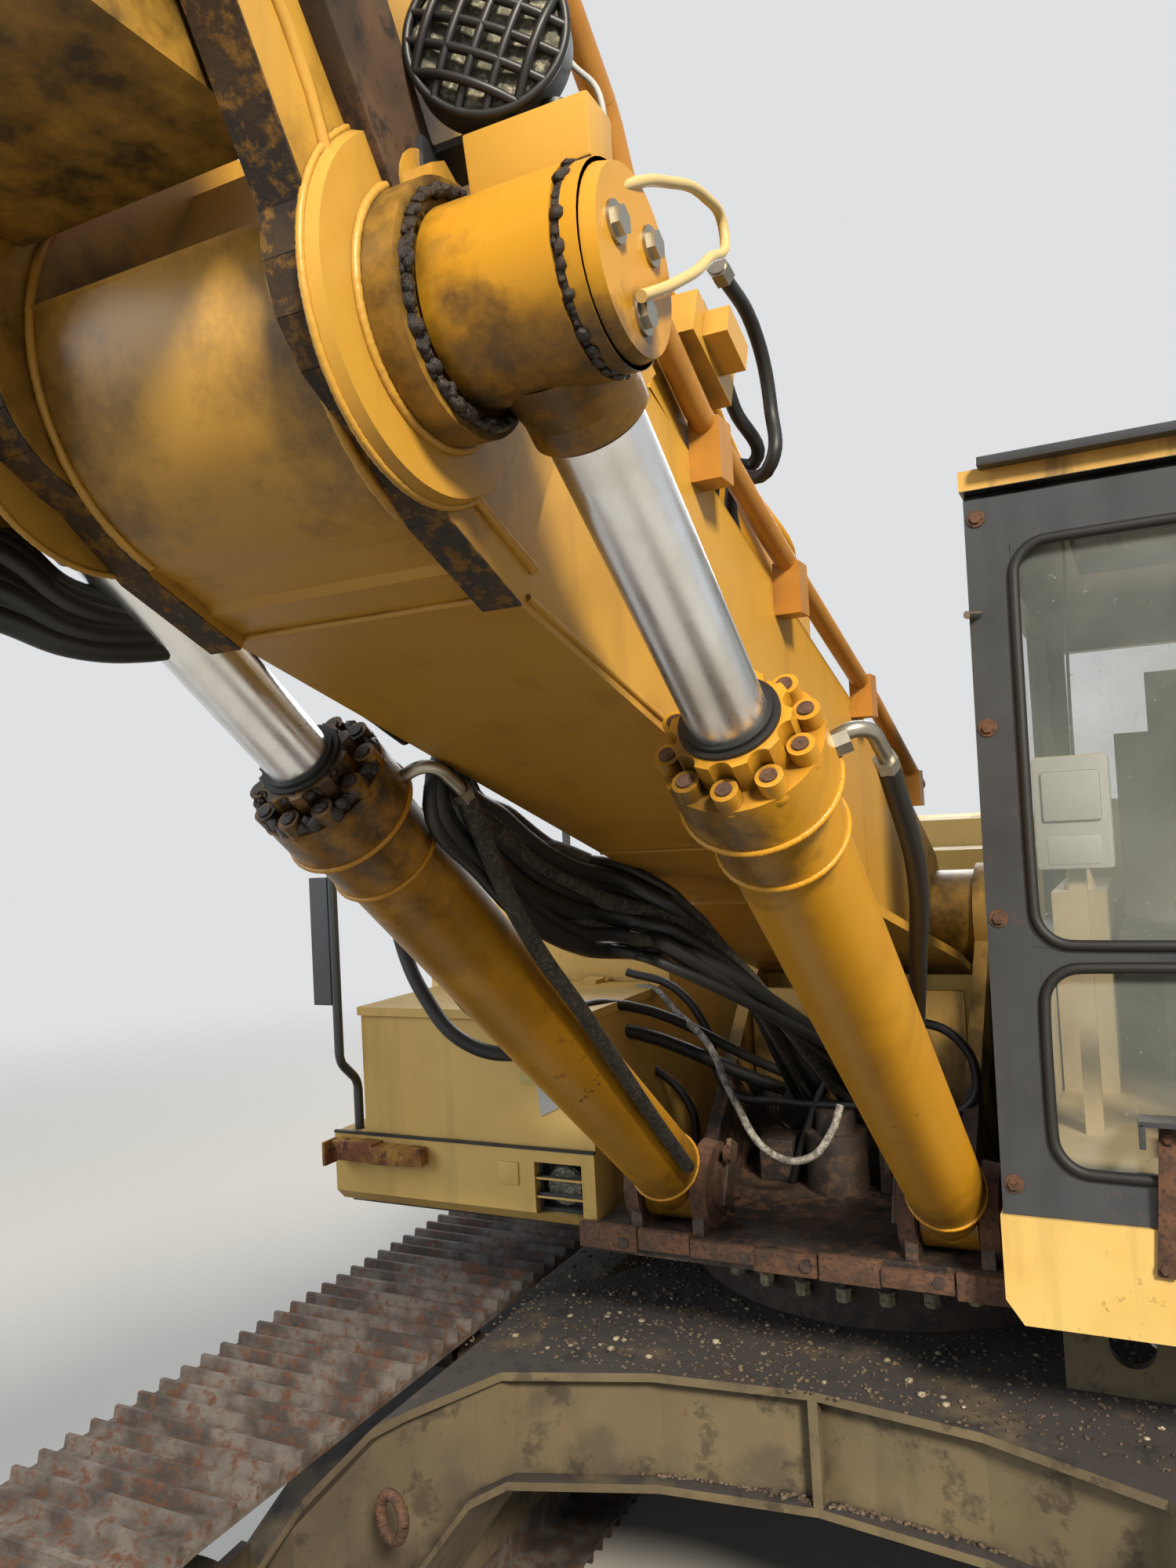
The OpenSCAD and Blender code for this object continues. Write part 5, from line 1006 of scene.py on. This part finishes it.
# Swing deck between the boom's plates: web with black discs of painted shade for its holes, swivel, valve block
# and hoses

# Holes of the web, drawn as black discs of painted shade on its face: distance left of the middle, height and
# radius
WEB_HOLES = ((-0.17, 1.56, 0.085), (0.06, 1.62, 0.1), (0.23, 1.55, 0.06))
# Braided hose: pixel and distance from the swing axis; the others lie on one plane
BRAID_ROUTE = ((800, 1262, -0.5), (835, 1262, -0.56), (862, 1290, -0.62), (905, 1335, -0.7),
               (935, 1400, -0.74), (985, 1472, -0.76), (1030, 1478, -0.74), (1060, 1445, -0.7),
               (1072, 1410, -0.66))
DECK_HOSE_Y = -0.56
DECK_ROUTES = (((800, 1240), (860, 1260), (900, 1310), (930, 1390), (1000, 1405), (1100, 1410)),
               ((1160, 1300), (1215, 1320), (1245, 1370), (1235, 1410), (1190, 1420)),
               ((1010, 1510), (1030, 1440), (1060, 1370), (1095, 1340), (1130, 1330)),
               ((700, 1290), (760, 1330), (830, 1360), (880, 1410), (890, 1480)))
blocks("deck_web", [(at(0, -0.33, 1.66), (0.636, 0.024, 0.52))], DECK, "upper", 0.003, slot="black_paint")
for k, (x, z, r) in enumerate(WEB_HOLES):
    # Painted shade: black discs where the holes are, with weld rims round them
    rods(f"web_hole_{k}", [(at(x, -0.345, z), at(x, -0.343, z), r)], BLACK_PLASTIC, "upper", 40)
    bead(f"web_hole_rim_{k}", path_ring(at(x, -0.345, z), BACK, r, 36), 0.006, "upper", DARK_CAST, seed=k)
swivel_low, swivel_step, swivel_top = (at(-0.02, -0.56, z) for z in (1.4, 1.56, 1.62))
rods("swivel", [(swivel_low, swivel_step, 0.085), (swivel_step, swivel_top, 0.055)], DARK_CAST, "upper", 40)
blocks("deck_valve", [(at(0.17, -0.5, 1.5), (0.14, 0.16, 0.2)), (at(0.17, -0.55, 1.62), (0.07, 0.09, 0.05)),
                      (at(-0.2, -0.5, 1.46), (0.1, 0.12, 0.12))], DARK_CAST, "upper", 0.006)
hoses("braided_hose", [[sight(px, py, y=y) for px, py, y in BRAID_ROUTE]], 0.0105, "upper", BRAID)
for k, line in enumerate(DECK_ROUTES):
    hoses(f"deck_hose_{k}", [[sight(px, py, y=DECK_HOSE_Y) for px, py in line]], 0.0125, "upper")

# Lugs of the boom cylinders' feet: rounded bosses, pins and their retainers

# From a cylinder's middle to the outer face of each of its two lugs
LUG_OUT = 0.1015


def foot_retainer(boss, out, word):
    """Bolted plate that holds the foot pin, on the lug's inner side."""
    plate = (boss + out * 0.032 + UP * 0.025 + BACK * 0.02, (0.014, 0.06, 0.17),
             Matrix.Rotation(math.radians(-28), 3, "X"))
    blocks("foot_retainer_" + word, [plate], DECK, "upper", 0.004)
    spots = [(boss + out * 0.039 + Vector((0, dy, dz)), out) for dy, dz in ((-0.01, 0.085), (0.05, -0.03))]
    bolts("foot_retainer_bolts_" + word, spots, 0.017, "upper", RUST)


for side, word in SIDES:
    for inward in (-1, 1):
        out = X * side * inward
        boss = LIFT_FOOT + X * side * (LIFT_X + inward * LUG_OUT)
        rim = boss + out * 0.012
        steps = [(boss - out * 0.03, rim, 0.115, 0.108), (rim, boss + out * 0.026, 0.062)]
        rods(f"foot_boss_{word}_{inward}", steps, RUST, "upper", 48)
        if inward < 0:
            foot_retainer(boss, out, word)

# Rusty front edge of the deck in bent lengths, and the bearing's covers, seat and bolts below it
LIP_PARTS = 7
lip = []
rng = random.Random(5)
for k in range(LIP_PARTS):
    x0 = -0.58 + 0.157 * k
    lip.append((at(x0 + 0.075, -1.046 - rng.uniform(0, 0.012), 1.375 + rng.uniform(-0.012, 0.012)),
                (0.15 + rng.uniform(-0.01, 0.02), 0.022, 0.05 + rng.uniform(-0.01, 0.015))))
blocks("deck_lip", lip, RUST, "upper", 0.004)
spots = [(at(x, -1.058, 1.372), -BACK) for x in (-0.46, -0.13, 0.02, 0.33)]
bolts("deck_lip_bolts", spots, 0.016, "upper", DARK_CAST)


def front_arc(radius, z, degrees):
    """Places round the front of the swing axis."""
    return [at(radius * math.cos(a), -radius * math.sin(a), z) for a in (math.radians(d) for d in degrees)]


COVER_INNER_R = 0.64
for k, (r, z0, z1) in enumerate(((0.80, 1.318, 1.333), (0.72, 1.285, 1.317))):
    outline = front_arc(r, z0, range(25, 156, 5)) + front_arc(COVER_INNER_R, z0, range(155, 24, -5))
    plates(f"bearing_cover_{k}", [(outline, UP * (z1 - z0))], DARK_CAST, "upper", 0.002)
rods("bearing_seat", [(at(0, 0, 1.0505), at(0, 0, 1.163), 0.6358)], DARK_CAST, "undercarriage", 96)
BEARING_BOLTS = 36
BEARING_BOLT_R = 0.663
around = (math.tau * k / BEARING_BOLTS for k in range(BEARING_BOLTS))
spots = [(at(BEARING_BOLT_R * math.cos(a), BEARING_BOLT_R * math.sin(a), 1.164), -UP) for a in around]
bolts("bearing_bolts", spots, 0.0205, "undercarriage", CREAM_CAST, height=0.034, washer=0.022)

# Cab front: seals with rounded corners, bolts, roof lip, strap and step bracket

CAB_SILL, CAB_TOP = 1.577, 3.164
CAB_FRONT_Y = -1.166
CAB_LEAN = 0.13
PANE_CORNER = 0.08
# The two windscreen panes: left and right edges, sill and head
PANES = (("upper", 0.586, 1.381, 2.137, 3.034), ("lower", 0.596, 1.371, 1.667, 2.097))


def cab_front(z, off=0.0):
    """How far the cab's sloping front stands from the swing axis at a height, off outside it."""
    return CAB_FRONT_Y + CAB_LEAN * (z - CAB_SILL) / (CAB_TOP - CAB_SILL) - off


def on_cab(x, z, off=0.0):
    """A place on the cab's front, off outside it."""
    return at(x, cab_front(z, off), z)


def pane_line(x0, x1, z0, z1, r, off, steps=6):
    """A rounded rectangle on the cab's sloping front."""
    line = []
    for x, z, turn in ((x1, z1, 0), (x0, z1, 90), (x0, z0, 180), (x1, z0, 270)):
        cx = x - r if turn in (0, 270) else x + r
        cz = z - r if turn in (0, 90) else z + r
        for k in range(steps + 1):
            a = math.radians(turn + 90 * k / steps)
            line.append(on_cab(cx + r * math.cos(a), cz + r * math.sin(a), off))
    return line


def corner_filler(x, z, along, up):
    """The black corner outside a pane's rounding; along and up are 1 or -1, into the pane."""
    turns = [math.radians(90 * k / 6) for k in range(7)]
    arc = [on_cab(x + along * PANE_CORNER * (1 - math.sin(a)),
                  z + up * PANE_CORNER * (1 - math.cos(a)), 0.0005) for a in turns]
    return [on_cab(x, z, 0.0005)] + arc, BACK * 0.012


for word, x0, x1, z0, z1 in PANES:
    line = pane_line(x0 + 0.004, x1 - 0.004, z0 + 0.004, z1 - 0.004, 0.075, 0.001)
    hoses(f"pane_seal_{word}", [line + line[:1]], 0.012, "upper", SEAL)
    corners = ((x0, z0, 1, 1), (x1, z0, -1, 1), (x0, z1, 1, -1), (x1, z1, -1, -1))
    plates(f"pane_corners_{word}", [corner_filler(*corner) for corner in corners], BLACK_PAINT, "upper")
spots = [(at(x, cab_front(z) + 0.0005, z), Vector((0, -1, 0.08))) for z in (3.1, 2.62, 2.2, 1.64)
         for x in (0.517, 1.45)]
bolts("cab_front_bolts", spots, 0.013, "upper", RUST, washer=0.02)
rods("cab_stud", [(at(0.512, cab_front(2.88) + 0.005, 2.88), at(0.49, cab_front(2.88, 0.035), 2.875), 0.009)],
     ZINC, "upper", 16, slot="chromed_rod")
blocks("roof_lip", [(at(0.98, -1.066, 3.216), (0.9, 0.05, 0.022)),
                    (at(0.98, -0.3, 3.214), (0.94, 1.45, 0.012))], BLACK_PAINT, "upper", 0.005,
       slot="black_paint")
strap_lean = Matrix.Rotation(math.radians(4), 3, "Y")
blocks("rust_strap", [(at(0.807, -1.183, 1.635), (0.034, 0.007, 0.30), strap_lean)], RUST, "upper", 0.002)
spots = [(at(0.796, -1.187, 1.505), -BACK), (at(0.817, -1.187, 1.765), -BACK)]
bolts("strap_bolts", spots, 0.011, "upper", RUST)
blocks("step_bracket", [(at(0.83, -1.2, 1.80), (0.13, 0.06, 0.012)),
                        (at(0.77, -1.2, 1.775), (0.012, 0.06, 0.05))], BLACK_PAINT, "upper", 0.002,
       slot="black_paint")
wiper_arm = (on_cab(1.3, 2.16, 0.02), on_cab(1.05, 2.75, 0.02), 0.006)
wiper_blade = (at(1.07, cab_front(2.3, 0.02), 2.42), at(1.03, cab_front(2.95, 0.02), 2.98), 0.008)
rods("wiper", [wiper_arm, wiper_blade], BLACK_PLASTIC, "upper", 12)

# Inside the cab: linings, monitor and wires

LININGS = [(at(0.98, 0.497, 2.05), (0.84, 0.012, 0.8)), (at(0.557, -0.3, 1.83), (0.012, 1.5, 0.36)),
           (at(1.41, 0.2, 1.83), (0.012, 0.5, 0.36)), (at(0.98, -0.3, 1.642), (0.84, 1.5, 0.01))]
MONITOR = [(at(0.662, -0.752, 2.42), (0.17, 0.11, 0.27)), (at(0.662, -0.81, 2.46), (0.13, 0.012, 0.12)),
           (at(0.662, -0.80, 2.33), (0.12, 0.02, 0.07))]
# Wires behind the windscreen: pixels and distance from the swing axis
CAB_WIRES = (((1340, 1000, -0.6), (1385, 1010, -0.6), (1415, 1050, -0.62), (1405, 1090, -0.65),
              (1380, 1110, -0.7)),
             ((1357, 700, -0.55), (1362, 850, -0.6), (1372, 1000, -0.66), (1380, 1080, -0.7)))
blocks("cab_lining", LININGS, BEIGE, "upper", 0.004, slot="beige_plastic")
blocks("monitor", MONITOR, PALE_GREY, "upper", 0.008, slot="beige_plastic")
hoses("cab_wires", [[sight(px, py, y=y) for px, py, y in line] for line in CAB_WIRES], 0.004, "upper")

# Storage box: seam, blank plates, battered step bracket, lamp glass, mirror

# The head lamp's middle, and the corners of a bare plate in the photograph
HEAD_LAMP_X, HEAD_LAMP_Z = -0.672, 1.47
BOX_PLATE_CORNERS = ((680, 1347), (690, 1424), (736, 1402), (706, 1347))
blocks("box_plate", [(sight(649, 1496, y=-1.0115), (0.062, 0.004, 0.062))], HOUSE_YELLOW, "upper", 0.001,
       slot="yellow_paint")
blocks("box_label", [(sight(676, 1370, y=-1.0005), (0.062, 0.002, 0.062))], STICKER, "upper",
       slot="yellow_paint")
corner_plate = [sight(px, py, y=-1.003) for px, py in BOX_PLATE_CORNERS]
plates("box_corner_plate", [(corner_plate, BACK * 0.003)], PALE_GREY, "upper", slot="cast_steel")
blocks("box_seam", [(at(-0.995, -1.006, 1.576), (0.872, 0.012, 0.007))], BLACK_PLASTIC, "upper")
blocks("box_step", [(at(-1.33, -1.035, 1.535), (0.15, 0.055, 0.055)),
                    (at(-1.18, -1.033, 1.53), (0.17, 0.05, 0.05), Matrix.Rotation(math.radians(7), 3, "Z")),
                    (at(-1.41, -1.06, 1.53), (0.012, 0.06, 0.07))], RUST_PAINT, "upper", 0.004)
bars = [(at(HEAD_LAMP_X, -1.003, HEAD_LAMP_Z + dz), (0.15, 0.006, 0.006)) for dz in (-0.025, 0.025)]
blocks("lamp_bars", bars, HOUSE_YELLOW, "upper", 0.001, slot="yellow_paint")
glass_back, glass_front = (at(HEAD_LAMP_X, y, HEAD_LAMP_Z) for y in (-0.965, -0.975))
rods("head_lamp_glass", [(glass_back, glass_front, 0.056, 0.05)], LENS, "upper", 32, slot="cab_glazing")
blocks("mirror_glass", [(at(-1.4175, -1.0415, 2.15), (0.056, 0.002, 0.35))], MIRROR, "upper",
       slot="cab_glazing")

# Carbody: tow rings, and the stones, grit and gravel that lie on its plates

# Heights of the carbody's top plate and of the ledge along its front arch
PLATE_TOP = 1.0505
LEDGE_TOP = 0.7735
# The swing bearing's ring, inside which no stones lie
RING_R = 0.655
TOP_STONES, LEDGE_STONES = 5200, 900
# The front edge is straight in the middle and slopes forward outside it: on the plate's top, and on the ledge
ARCH_FLAT = 0.2
TOP_SLOPE, LEDGE_SLOPE = 0.12, 0.13


def arch_reach(x, slope):
    """How far the carbody's front edge lies forward of its middle stretch, at a place across it."""
    return slope * max(0.0, abs(x) - ARCH_FLAT)


for side, word in SIDES:
    ring = path_ring(at(side * 0.8, -1.632, 0.924), Vector((side * 0.35, -1, 0.1)), 0.045, 20)
    bead("tow_ring_" + word, ring, 0.013, "undercarriage", RUST, seed=2)
rng = random.Random(21)
coarse, grit = [], []
for k in range(TOP_STONES):
    x, y = rng.uniform(-0.95, 0.98), rng.uniform(-1.6, -0.2)
    inside = y > -1.03 - arch_reach(x, TOP_SLOPE) and math.hypot(x, y) > RING_R
    # Thinned by a third, except in the drift on the right
    if inside and (k % 3 or abs(x + 0.35) < 0.35):
        (coarse if k % 23 == 0 else grit).append((at(x, y, PLATE_TOP), UP))
clods("carbody_stones", coarse, 0.010, "undercarriage", CREAM_CAST, seed=22, fine=1)
clods("carbody_grit", grit, 0.006, "undercarriage", GRAVEL, seed=23, fine=1)
ledge = []
for k in range(LEDGE_STONES):
    x = rng.uniform(-0.8, 0.85)
    ledge.append((at(x, -1.0 - arch_reach(x, LEDGE_SLOPE) - rng.uniform(-0.035, 0.0), LEDGE_TOP), UP))
clods("ledge_gravel", ledge, 0.0075, "undercarriage", GRAVEL, seed=24, fine=1)

# Floor, backdrop and light

BACKDROP = "#DFE1E3"
FLOOR_HALF = 90
# The floor fades into the backdrop's tone between these distances, in metres, so no horizon shows
FADE_START, FADE_END = 7.0, 17.0


def seen_by(tree, *kinds):
    """1 for the named kinds of ray and 0 for the others."""
    rays = add(tree, "ShaderNodeLightPath")
    share = rays.outputs[kinds[0]]
    for kind in kinds[1:]:
        share = add(tree, "ShaderNodeMath", {0: share, 1: rays.outputs[kind]}, operation="MAXIMUM").outputs[0]
    return share


def pale_floor():
    """Pale floor; dark for all but camera and glossy rays, as gravel throws little light up."""
    work = bmesh.new()
    bmesh.ops.create_grid(work, x_segments=1, y_segments=1, size=FLOOR_HALF)
    mesh = bpy.data.meshes.new("floor")
    work.to_mesh(mesh)
    work.free()
    finish, tree, shader, place = surface("pale_studio_floor")
    seen = seen_by(tree, "Is Camera Ray", "Is Glossy Ray")
    shade = coats(tree, linear("#6B6862"), (seen, linear("#B9B7B2")))
    tree.links.new(shade, shader.inputs["Base Color"])
    shader.inputs["Roughness"].default_value = 0.9
    far = add(tree, "ShaderNodeVectorMath", {0: place}, operation="LENGTH").outputs["Value"]
    fade = add(tree, "ShaderNodeMapRange", {"Value": far, "From Min": FADE_START, "From Max": FADE_END},
               interpolation_type="SMOOTHSTEP").outputs[0]
    glow = add(tree, "ShaderNodeMapRange", {"Value": seen, "To Min": 0.25}).outputs[0]
    plain_tone = add(tree, "ShaderNodeEmission", {"Color": linear(BACKDROP), "Strength": glow})
    mixed = add(tree, "ShaderNodeMixShader", {0: fade, 1: shader.outputs[0], 2: plain_tone.outputs[0]})
    tree.links.new(mixed.outputs[0], tree.nodes["Material Output"].inputs["Surface"])
    mesh.materials.append(finish)
    floor = bpy.data.objects.new("floor", mesh)
    bpy.context.scene.collection.objects.link(floor)


def studio_world():
    """Soft bluish sky for the light, and the plain backdrop for all that is seen or mirrored."""
    world = bpy.data.worlds.new("studio")
    world.use_nodes = True
    bpy.context.scene.world = world
    tree = world.node_tree
    tree.nodes.clear()
    seen = seen_by(tree, "Is Camera Ray", "Is Transmission Ray", "Is Glossy Ray")
    lit = add(tree, "ShaderNodeBackground", {"Color": linear("#DDE6F0"), "Strength": 0.5})
    backdrop = add(tree, "ShaderNodeBackground", {"Color": linear(BACKDROP), "Strength": 1.0})
    both = add(tree, "ShaderNodeMixShader", {0: seen, 1: lit.outputs[0], 2: backdrop.outputs[0]})
    out = add(tree, "ShaderNodeOutputWorld")
    tree.links.new(both.outputs[0], out.inputs[0])


def lamp(name, place, target, size, watts, tint="#FFFFFF"):
    """A round studio lamp that faces its target."""
    light = bpy.data.lights.new(name, "AREA")
    light.shape = "DISK"
    light.size = size
    light.energy = watts
    light.color = linear(tint)[:3]
    piece = bpy.data.objects.new(name, light)
    piece.matrix_world = facing(place, place - target)
    bpy.context.scene.collection.objects.link(piece)


pale_floor()
studio_world()
# A warm key high at the left front, far off so that near and far parts are lit alike, and soft fills
lamp("key", at(13, -16.5, 15.8), at(0, -1.5, 2), 4.6, 9800, "#FFF3E0")
lamp("fill", at(-9, -8, 6), at(0, -1, 1.5), 7.0, 500, "#EAF1FF")
lamp("rear", at(-3, 11, 9), at(0, 0, 1.5), 6.0, 900, "#FFFFFF")
bpy.context.scene.view_settings.view_transform = "Standard"

bpy.context.view_layer.update()
